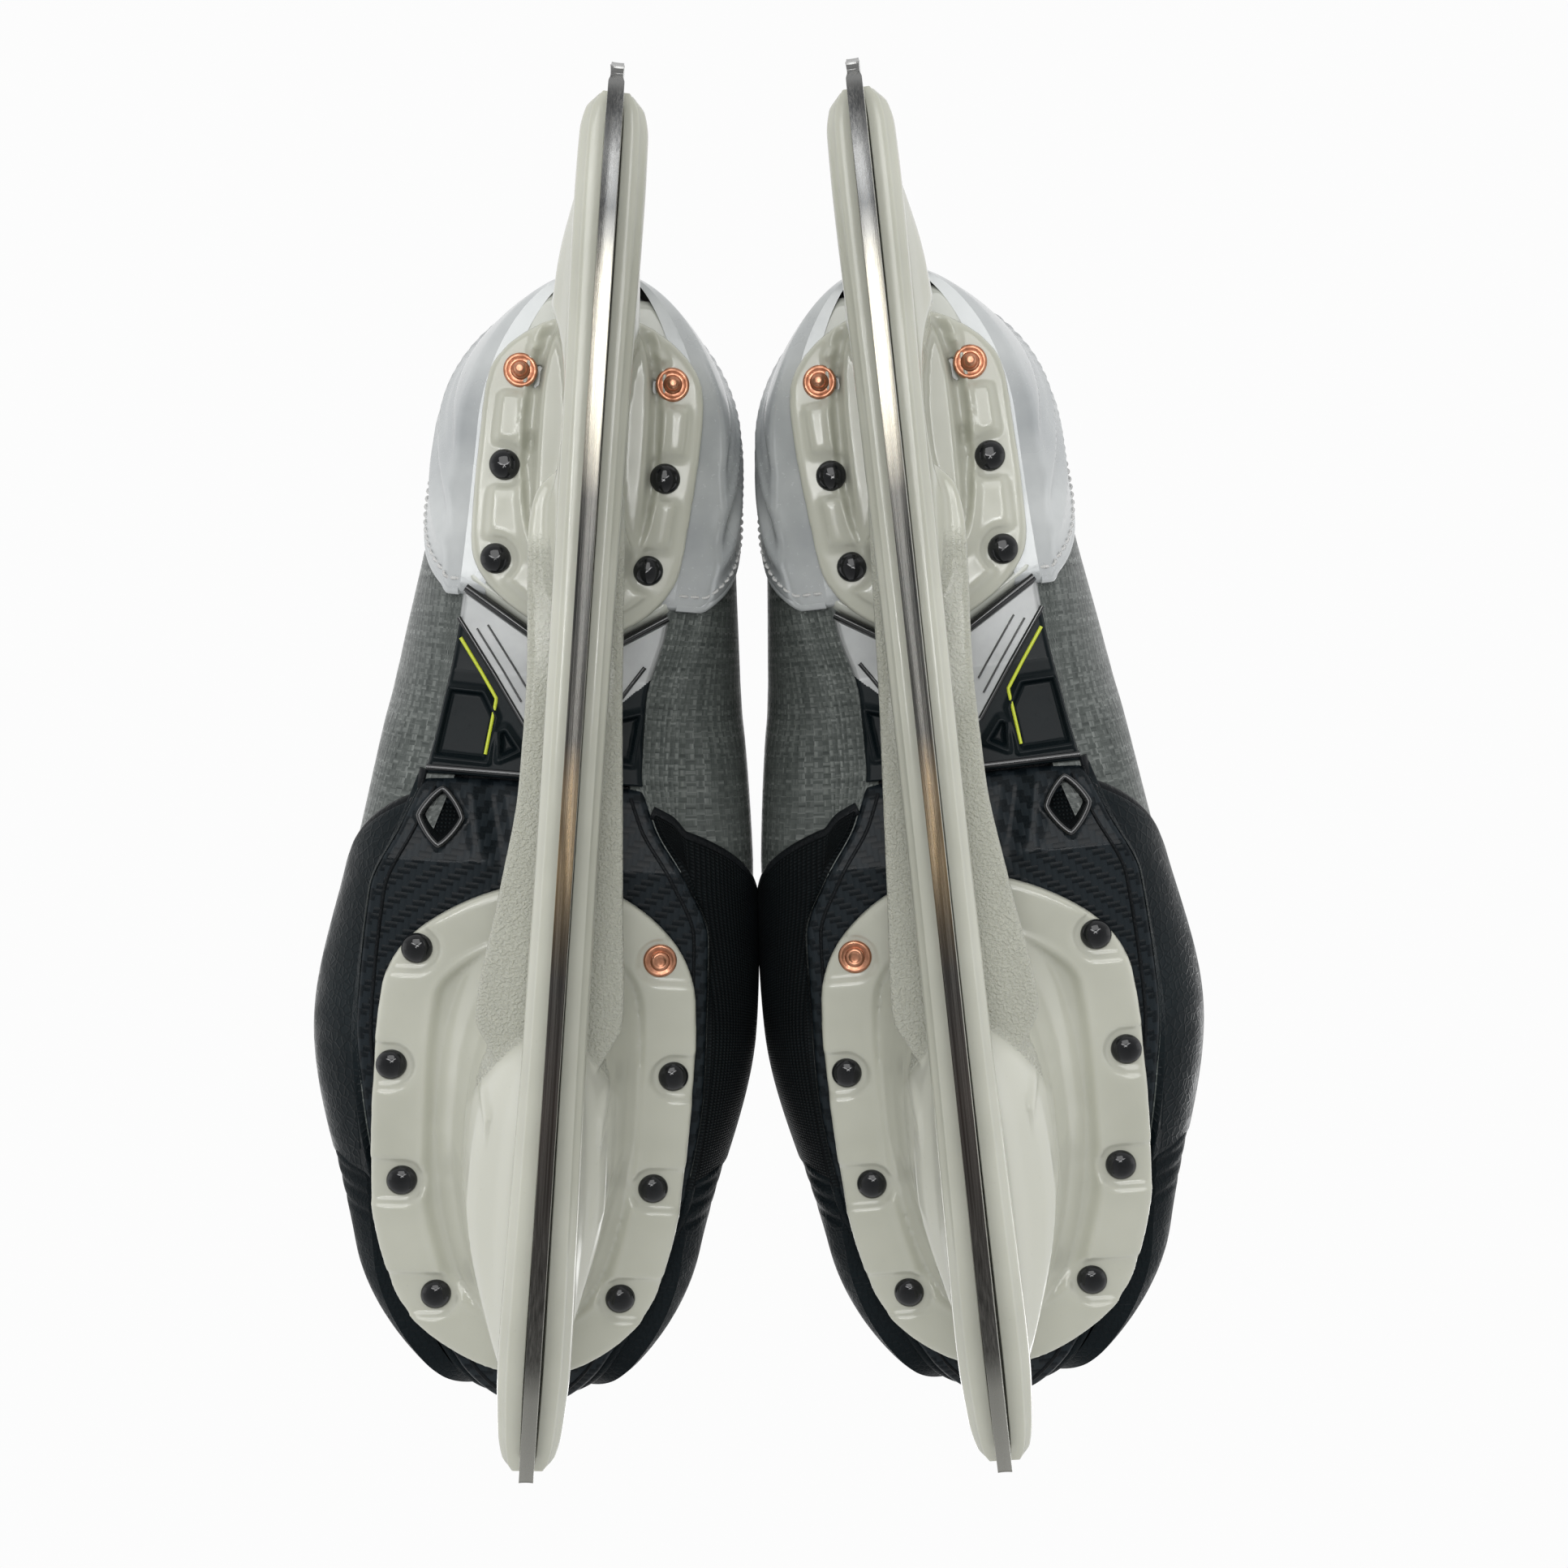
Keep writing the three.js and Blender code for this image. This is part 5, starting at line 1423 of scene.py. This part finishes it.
def make_counter():
    for side, name in ((1, "heel_counter"), (-1, "inner_heel_counter")):
        part = Part()
        place = side_place(side)
        t = np.linspace(0, 1, 60)
        hs = np.r_[np.linspace(-UNDER, 0, 10)[:-1], 88 * t**1.25]
        steps = border_steps(80.0, 2.4, 70)
        start = counter_front(hs)
        U = start[None] + (1.0 - start[None]) * (1 - (1 - steps[:, None]) ** 1.35)
        H = np.broadcast_to(hs[None], U.shape)
        points = place(U, H)
        n = outward(points, [side, 0.3, 0])
        ahead = (U - start[None]) * LENGTH
        top = (88 - H)
        rise = round_end(ahead, 2.2) * round_end(top, 2.0)
        folds = np.zeros_like(U)
        for at, tilt, size, wide in ((9, 0.5, 1.0, 2.0), (15, 0.62, -1.1, 2.2), (22, 0.75, 1.1, 2.4),
                                     (31, 0.9, -0.9, 2.6)):
            fade = smooth(2, 8, H + 4) * smooth(60, 30, H)
            folds += size * np.exp(-(((ahead - at - tilt * H) / wide) ** 2)) * fade
        points = points + n * (-0.3 + 2.0 * rise + folds * rise)[..., None]
        part.grid(points, 0, side < 0)
        under = np.stack([points[:, 0] * [0.8, 1, 1] + [0, 0, -0.2], points[:, 0]], 1)
        part.grid(under, 0, side < 0)
        # The stitched edge: a flat band and a row of white stitches on it.
        line_h = np.linspace(-UNDER + 0.5, 86, 96)
        band = place(counter_front(line_h) + 1.0 / LENGTH, line_h)
        ups = surface_normals(band)
        tube(part, band + ups * 1.1, 1.15, 10, 0, flat=0.5, ups=ups)
        seam = place(counter_front(line_h) + 3.6 / LENGTH, line_h)
        stitches(part, seam + surface_normals(seam) * 1.6, surface_normals, 2.7, 0.36, 0.5, 1)
        replaced = ["heel_counter"] if side > 0 else ()
        build(name, part, [M["pearl"], M["thread"]], "boot", replaced)


make_counter()


def make_collar():
    """Facings with eyelets along the throat, padded collar, lining, and the back strap."""
    facing, eyelets, rims = Part(), Part(), Part()
    for side in (1, -1):
        place = side_place(side)
        us = np.r_[np.linspace(0.262, 0.56, 60), np.linspace(0.565, 0.628, 26)]
        top = np.stack([us, THROAT(us) + 0.3], -1)
        width = np.interp(us, [0.26, 0.5, 0.6, 0.63], [9, 13, 20, 26])
        bottom = np.stack([us, THROAT(us) - width], -1)
        left = np.stack([np.full(10, us[0]), np.linspace(bottom[0, 1], top[0, 1], 10)], -1)
        right = np.stack([np.full(10, us[-1]), np.linspace(bottom[-1, 1], top[-1, 1], 10)], -1)
        panel(facing, place, (bottom, top, left, right), 1.5, 1.3, -0.4, 0, side, 1.4)
        low = place(us, THROAT(us) - width + 2.2)
        stitches(facing, low + surface_normals(low) * 0.9, surface_normals, 2.4, 0.25, 0.4, 1)
        for k in range(12):
            u = 0.285 + k * (0.612 - 0.285) / 11
            h = float(THROAT(u)) - np.interp(u, [0.26, 0.6], [5.2, 8.0])
            c = place(np.array([u]), np.array([h]))[0]
            ahead, behind = place(np.array([u + 0.004, u - 0.004]), np.array([h, h]))
            du = ahead - behind
            dh = place(np.array([u]), np.array([h + 1.0]))[0] - place(np.array([u]), np.array([h - 1.0]))[0]
            a = du / np.linalg.norm(du)
            n = np.cross(a, dh)
            n /= np.linalg.norm(n)
            n *= np.sign(n @ np.array([side, 0, 0.4]))
            b = np.cross(n, a)
            basis = np.stack([a, b, -n], 1)
            lathe(eyelets, [(3.3, -0.2), (3.35, 0.5), (3.0, 1.0), (2.4, 1.1), (1.9, 0.8), (1.8, 0.0),
                            (1.75, -1.4), (0.0, -1.5)],
                  *(c + n * 0.9), 24, 0, basis)
        # Padded rim along the throat and the collar.
        ru = np.r_[np.linspace(0.262, 0.62, 70), np.linspace(0.624, 0.93, 70),
                   1 - 0.07 * (1 - np.linspace(0, 1, 24)[1:]) ** 2]
        ru = np.clip(ru, 0, 1.0)
        line = place(ru, rim_height(ru))
        swell = 1.6 + 1.7 * smooth(0.6, 0.68, ru)
        inward = line * [1, 0, 0]
        inward = inward / np.maximum(np.linalg.norm(inward, axis=1, keepdims=True), 1e-9)
        tube(rims, line - inward * swell[:, None] * 0.7, swell, 14, 0)
        # Lining inside.
        t = np.linspace(0, 1, 40)
        lu = np.r_[np.linspace(0.3, 0.93, 90), 1 - 0.07 * (1 - np.linspace(0, 1, 24)[1:]) ** 2]
        lu = np.clip(lu, 0, 1.0)
        rim = rim_height(lu) - 0.5
        h = 6 + (rim - 6)[:, None] * t[None]
        p = place(np.broadcast_to(lu[:, None], h.shape), h)
        inset = 4.2 + 4.4 * smooth(0.0, 0.12, t)[None] * smooth(1.0, 0.8, t)[None] * np.ones_like(h)
        p[..., 0] = p[..., 0] - np.sign(side) * np.minimum(inset, np.abs(p[..., 0]) * 0.98)
        p[..., 1] = p[..., 1] - inset * smooth(0.8, 1.0, lu)[:, None]
        rims.grid(p, 1, side < 0)
    build("lace_facing", facing, [M["trim"], M["dark_thread"]], "boot", ())
    build("eyelets", eyelets, [M["eyelet"]], "boot", ())
    build("collar_lining", rims, [M["lining"], M["lining"]], "boot", ["liner"])
    # Black upper panel around the ankle, above the composite.
    ankle = Part()
    for side in (1, -1):
        place = side_place(side)
        us = 0.64 + 0.36 * (1 - (1 - np.linspace(0, 1, 90)) ** 1.5)
        top = np.stack([us, COLLAR(us) - 0.5], -1)
        depth = np.interp(us, [0.64, 0.8, 0.92, 1.0], [16, 24, 40, 52])
        bottom = np.stack([us, COLLAR(us) - depth], -1)
        left = np.stack([np.full(12, us[0]), np.linspace(bottom[0, 1], top[0, 1], 12)], -1)
        right = np.stack([np.full(12, us[-1]), np.linspace(bottom[-1, 1], top[-1, 1], 12)], -1)
        panel(ankle, place, (bottom, top, left, right), 1.0, 1.4, -0.4, 0, side, 1.6)
        seam = place(us, COLLAR(us) - depth + 2.4)
        stitches(ankle, seam + surface_normals(seam) * 0.8, surface_normals, 2.6, 0.28, 0.4, 1)
    build("ankle_panel", ankle, [M["black_leather"], M["dark_thread"]], "boot", ())


make_collar()


def make_footbed():
    part = Part()
    ys = np.linspace(TOE + 10, HEEL - 12, 110)
    o, i = edge_halves(ys, 3.8)
    t = np.linspace(0, 1, 50)
    x = (o * 0.97)[:, None] + ((-i - o) * 0.97)[:, None] * t[None]
    cup = 1.6 * (np.abs(2 * t - 1) ** 3)[None]
    z = floor_line(ys)[:, None] + 3.3 + 4.0 + cup
    points = np.stack([x, np.broadcast_to(ys[:, None], x.shape), z * np.ones_like(x)], -1)
    part.grid(points, 0, False)
    part.grid(points - [0, 0, 3.6], 0, True)
    build("footbed", part, [M["footbed"]], "boot", ["footbed"])


make_footbed()


def make_tongue():
    """Felt tongue: padded, with a bound edge, a quilted middle and a rounded top."""
    part = Part()
    u = np.r_[np.linspace(0.272, 0.56, 80), np.linspace(0.565, 0.625, 40)]
    v = np.linspace(-1, 1, 61)
    rows = []
    for uu in u:
        side_h = float(THROAT(min(uu, 0.628))) + 1.2
        a = section(1, uu, side_h)
        b = section(-1, uu, side_h)
        crest_z = float(floor_line(TOE + uu * LENGTH)) + min(float(TOP(uu)), side_h + 13.0)
        x = b[0] + (a[0] - b[0]) * (v + 1) / 2
        arch = (1 - np.abs(v) ** 2.4)
        z = a[2] + (crest_z - a[2]) * arch
        rows.append(np.stack([x * 0.985, np.full_like(v, a[1]), z], -1))
    rows = np.array(rows)
    # Above the throat the tongue stands free and rises past the collar.
    last = rows[-1]
    rise = np.linspace(0, 1, 34)[1:]
    free = []
    for s in rise:
        round_top = np.sqrt(np.clip(1 - np.abs(v) ** 4 * smooth(0.4, 1.0, s), 0, 1))
        lift = 33 * s * (0.75 + 0.25 * round_top)
        p = last.copy()
        p[:, 0] = last[:, 0] * (1 + 0.06 * s)
        p[:, 1] = last[:, 1] + 6 * s - 3.5 * (1 - v**2) * s
        p[:, 2] = last[:, 2] + lift * (0.55 + 0.45 * (1 - v**4))
        free.append(p)
    rows = np.concatenate([rows, np.array(free)])
    n = grid_normals(rows)
    n = n * np.sign((n * [0, -0.75, 0.65]).sum(-1, keepdims=True))
    run = np.linspace(0, 1, len(rows))[:, None]
    quilt = 1.7 * np.abs(np.cos(run * math.pi * 11)) ** 0.5 * smooth(0.86, 0.6,
                                                                     np.abs(v))[None] * smooth(0.5, 0.6, run)
    edge = np.sqrt(np.clip(1 - np.abs(v) ** 6, 0, 1))[None]
    front = rows + n * (quilt + 0.6 * edge)[..., None]
    back = rows - n * (6.2 * edge + 0.4)[..., None]
    part.grid(front, 0, False)
    part.grid(back, 1, True)
    rim = np.concatenate([front[:, 0], front[-1, 1:-1], front[::-1, -1]])
    rim2 = np.concatenate([back[:, 0], back[-1, 1:-1], back[::-1, -1]])
    tube(part, (rim + rim2) / 2, 2.6, 12, 2)
    build("tongue", part, [M["felt"], M["lining"], M["trim"]], "tongue", ["tongue"])


make_tongue()


GUARD_FOOT, GUARD_TOP = 129.0, 194.0  # the foot is tucked inside the collar


def make_guard():
    """Tendon guard: a curved, ribbed moulding that tapers to a rounded top."""
    part = Part()
    rows = 76
    t = np.linspace(0, 1, rows)
    height = GUARD_FOOT + (GUARD_TOP - GUARD_FOOT) * t
    spread = np.interp(t, [0, 0.15, 0.6, 0.85, 0.95, 1.0], [0.125, 0.112, 0.085, 0.07, 0.052, 0.02])
    across = np.linspace(-1, 1, 81)
    grid = []
    for h, w in zip(height, spread):
        row = []
        for a in across:
            side = 1 if a >= 0 else -1
            u = 1 - w * np.abs(a)
            hh = h + (-6.0 * np.abs(a) ** 2 * (1 - (h - GUARD_FOOT) / (GUARD_TOP - GUARD_FOOT)))
            row.append(section(side, min(u, 1.0), hh))
        grid.append(row)
    grid = np.array(grid)
    centre = np.array([0.0, 85.0, 0.0])
    out = grid - centre
    out[..., 2] = 0
    out /= np.maximum(np.linalg.norm(out, axis=-1, keepdims=True), 1e-9)
    belly = 1.1 * (1 - np.abs(across) ** 6)[None]
    lift = 0.4 + belly * smooth(0, 0.08, t)[:, None] * smooth(1.0, 0.92, t)[:, None]
    tucked = 4.4 * smooth(142.0, 136.0, height)[:, None]
    lift = lift - tucked
    ribs = 0.8 * np.exp(-((((t[:, None] * 54.5) % 9.0 - 4.5) / 1.3) ** 2))
    ribs = ribs * smooth(0.75, 0.55, np.abs(across))[None]
    ribs = ribs * (smooth(0.1, 0.16, t) * smooth(0.9, 0.82, t))[:, None]
    front = grid + out * (lift - ribs)[..., None]
    back = grid - out * (2.6 + tucked)[..., None]
    part.grid(front, 0, False)
    part.grid(back, 1, True)
    rim = np.concatenate([(front[:, 0] + back[:, 0]) / 2, (front[-1, 1:-1] + back[-1, 1:-1]) / 2,
                          ((front + back) / 2)[::-1, -1]])
    tube(part, rim, 1.7, 10, 0)
    build("tendon_guard", part, [M["guard"], M["lining"]], "tendon_guard", ["tendon_guard"])


make_guard()

# --- Blade release, inside the rear tower ---


def make_release():
    part = Part()
    pin_y, pin_z = 102.0, 46.0
    angle = np.radians(np.linspace(-60, 120, 20))
    outline = [(pin_y + 4 * math.cos(a), pin_z + 4 * math.sin(a)) for a in angle]
    outline += [(pin_y - 10, pin_z + 3.6), (pin_y - 18, pin_z + 3.0), (pin_y - 19.2, pin_z + 1.2),
                (pin_y - 19, pin_z - 1),
                (pin_y - 12, pin_z - 2.6), (pin_y - 5, pin_z - 3.5), (pin_y - 3.2, pin_z - 12), (pin_y - 3, 25.9),
                (pin_y + 2, 25.9)]
    outline = np.array(outline)
    rings = []
    for x, shrink in ((-3.0, 0.35), (-2.7, 0.0), (2.7, 0.0), (3.0, 0.35)):
        c = outline.mean(0)
        d = outline - c
        pts = c + d * (1 - shrink / np.maximum(np.linalg.norm(d, axis=1, keepdims=True), 1))
        rings.append(np.stack([np.full(len(pts), x), pts[:, 0], pts[:, 1]], -1))
    rings = np.array(rings)
    part.grid(rings, 0, False, wrap=True)
    n = len(outline)
    part.add(rings[0], np.array([list(range(n))[::-1]]), 0)
    part.add(rings[-1], np.array([list(range(n))]), 0)
    # Grip ribs on the finger tab.
    for k in range(4):
        y = pin_y - 17 + 2.6 * k
        tube(part, [(-2.6, y, pin_z - 1.4 - 0.25 * k), (0, y, pin_z - 1.6 - 0.25 * k),
                    (2.6, y, pin_z - 1.4 - 0.25 * k)], 0.45, 8, 0)
    build("release_trigger", part, [M["trigger"]], "trigger", ["release_trigger"], sharp=35)
    pin = Part()
    line = [(-7.5, pin_y, pin_z), (-7.2, pin_y, pin_z), (7.2, pin_y, pin_z), (7.5, pin_y, pin_z)]
    tube(pin, line, [1.15, 1.4, 1.4, 1.15], 20, 0)
    build("trigger_pin", pin, [M["side_steel"]], "boot", ["trigger_pin"])
    spring = Part()
    a = np.radians(np.linspace(-28, 28, 20))
    bow = np.stack([pin_y - 8.4 + 14.35 * np.cos(a), pin_z + 14.35 * np.sin(a)], -1)
    sheet = np.stack([np.stack([np.full(20, x), bow[:, 0] + off, bow[:, 1]], -1)
                      for x, off in ((-2.5, 0.3), (2.5, 0.3), (2.5, -0.3), (-2.5, -0.3))], 1)
    spring.grid(sheet, 0, False, wrap=True)
    build("trigger_spring", spring, [M["side_steel"]], "boot", ["trigger_spring"], sharp=40)


make_release()

# --- Camera: from below, as a fitted pinhole ---

FOCAL = 1933.0 / 1932.0  # focal length over the image's side
DISTANCE, SHIFT_X, SHIFT_Y = 0.30074, -0.006386, 0.006639
PITCH, ROLL, YAW = math.radians(7.009), math.radians(-1.1385), math.radians(-0.3283)
aim_point = np.array([0.0, 0.004494, 0.000157])


def turn(axis, angle):
    return np.array(Matrix.Rotation(angle, 3, axis))


facing = turn("Z", ROLL) @ turn("Y", YAW) @ turn("X", PITCH) @ np.diag([-1.0, -1.0, 1.0])
offset = np.array([SHIFT_X, SHIFT_Y, DISTANCE])
eye = facing.T @ (-offset) + aim_point
camera_data = bpy.data.cameras.new("camera")
camera_data.sensor_fit = "HORIZONTAL"
camera_data.sensor_width = 36.0
camera_data.lens = 36.0 * FOCAL
camera_data.clip_start = 0.005
camera_data.clip_end = 20.0
camera = bpy.data.objects.new("camera", camera_data)
scene.collection.objects.link(camera)
pose = Matrix.Identity(4)
for column, direction in enumerate((facing.T @ [1, 0, 0], -(facing.T @ [0, 1, 0]), -(facing.T @ [0, 0, 1]))):
    for row in range(3):
        pose[row][column] = direction[row]
for row in range(3):
    pose[row][3] = eye[row]
camera.matrix_world = pose
scene.camera = camera

# --- Stage: a pale floor that shows from above only, a white surround and soft lamps ---

world = bpy.data.worlds.new("world")
scene.world = world
world.use_nodes = True
backdrop = world.node_tree.nodes["Background"]
backdrop.inputs["Strength"].default_value = 0.975
sky = world.node_tree.nodes.new("ShaderNodeTexCoord")
axes = world.node_tree.nodes.new("ShaderNodeSeparateXYZ")
fade = world.node_tree.nodes.new("ShaderNodeValToRGB")
fade.color_ramp.elements[0].position, fade.color_ramp.elements[0].color = 0.0, (0.30, 0.30, 0.30, 1)
fade.color_ramp.elements[1].position, fade.color_ramp.elements[1].color = 0.42, (1, 1, 1, 1)
spread = world.node_tree.nodes.new("ShaderNodeMapRange")
spread.inputs[1].default_value, spread.inputs[2].default_value = -1.0, 1.0
world.node_tree.links.new(sky.outputs["Generated"], axes.inputs[0])
world.node_tree.links.new(axes.outputs["Z"], spread.inputs[0])
world.node_tree.links.new(spread.outputs[0], fade.inputs[0])
world.node_tree.links.new(fade.outputs[0], backdrop.inputs["Color"])


def lamp(name, position, size, power, target=(0, 0, 0.05)):
    data = bpy.data.lights.new(name, "AREA")
    data.shape = "RECTANGLE"
    data.size, data.size_y = size
    data.energy = power
    obj = bpy.data.objects.new(name, data)
    obj.location = position
    obj.rotation_euler = (Vector(target) - Vector(position)).to_track_quat("-Z", "Y").to_euler()
    scene.collection.objects.link(obj)


lamp("under_main", (0.05, 0.35, -0.75), (0.5, 0.5), 2.6)
lamp("under_tube_1", (-0.12, 0.10, -0.9), (0.05, 0.6), 0.8)
lamp("under_tube_2", (0.16, 0.10, -0.9), (0.05, 0.6), 0.8)
lamp("under_side", (0.8, 0.0, -0.25), (0.4, 0.6), 0.3)
lamp("under_side_2", (-0.8, 0.0, -0.25), (0.4, 0.6), 0.3)
lamp("top", (0.2, -0.4, 1.1), (1.0, 1.0), 5.0)
lamp("side", (-3.0, -1.8, 3.2), (1.8, 1.8), 26.0)

floor_data = bpy.data.meshes.new("floor")
reach = 14.0
floor_z = cad_low[2] - 0.0006
floor_corners = [(reach * i, reach * j, floor_z) for i, j in ((-1, -1), (1, -1), (1, 1), (-1, 1))]
floor_data.from_pydata(floor_corners, [], [(0, 1, 2, 3)])
floor = bpy.data.objects.new("floor", floor_data)
scene.collection.objects.link(floor)
floor_nodes = Nodes("floor")
geometry = floor_nodes.node("ShaderNodeNewGeometry")
clear = floor_nodes.node("ShaderNodeBsdfTransparent")
two_sided = floor_nodes.node("ShaderNodeMixShader", Fac=geometry.outputs["Backfacing"])
floor_nodes.tree.links.new(floor_nodes.shader.outputs[0], two_sided.inputs[1])
floor_nodes.tree.links.new(clear.outputs[0], two_sided.inputs[2])
floor_nodes.tree.links.new(two_sided.outputs[0], floor_nodes.out.inputs["Surface"])
floor_tone = floor_nodes.noise(floor_nodes.node("ShaderNodeTexCoord").outputs["Object"], 4.0)
floor_nodes.set(Base_Color=floor_nodes.mix(floor_tone, (0.74, 0.74, 0.74), (0.78, 0.78, 0.78)), Roughness=0.6)
floor_data.materials.append(floor_nodes.material)
floor.visible_shadow = False
floor.visible_glossy = False
floor.visible_diffuse = False

scene.view_settings.view_transform = "Standard"
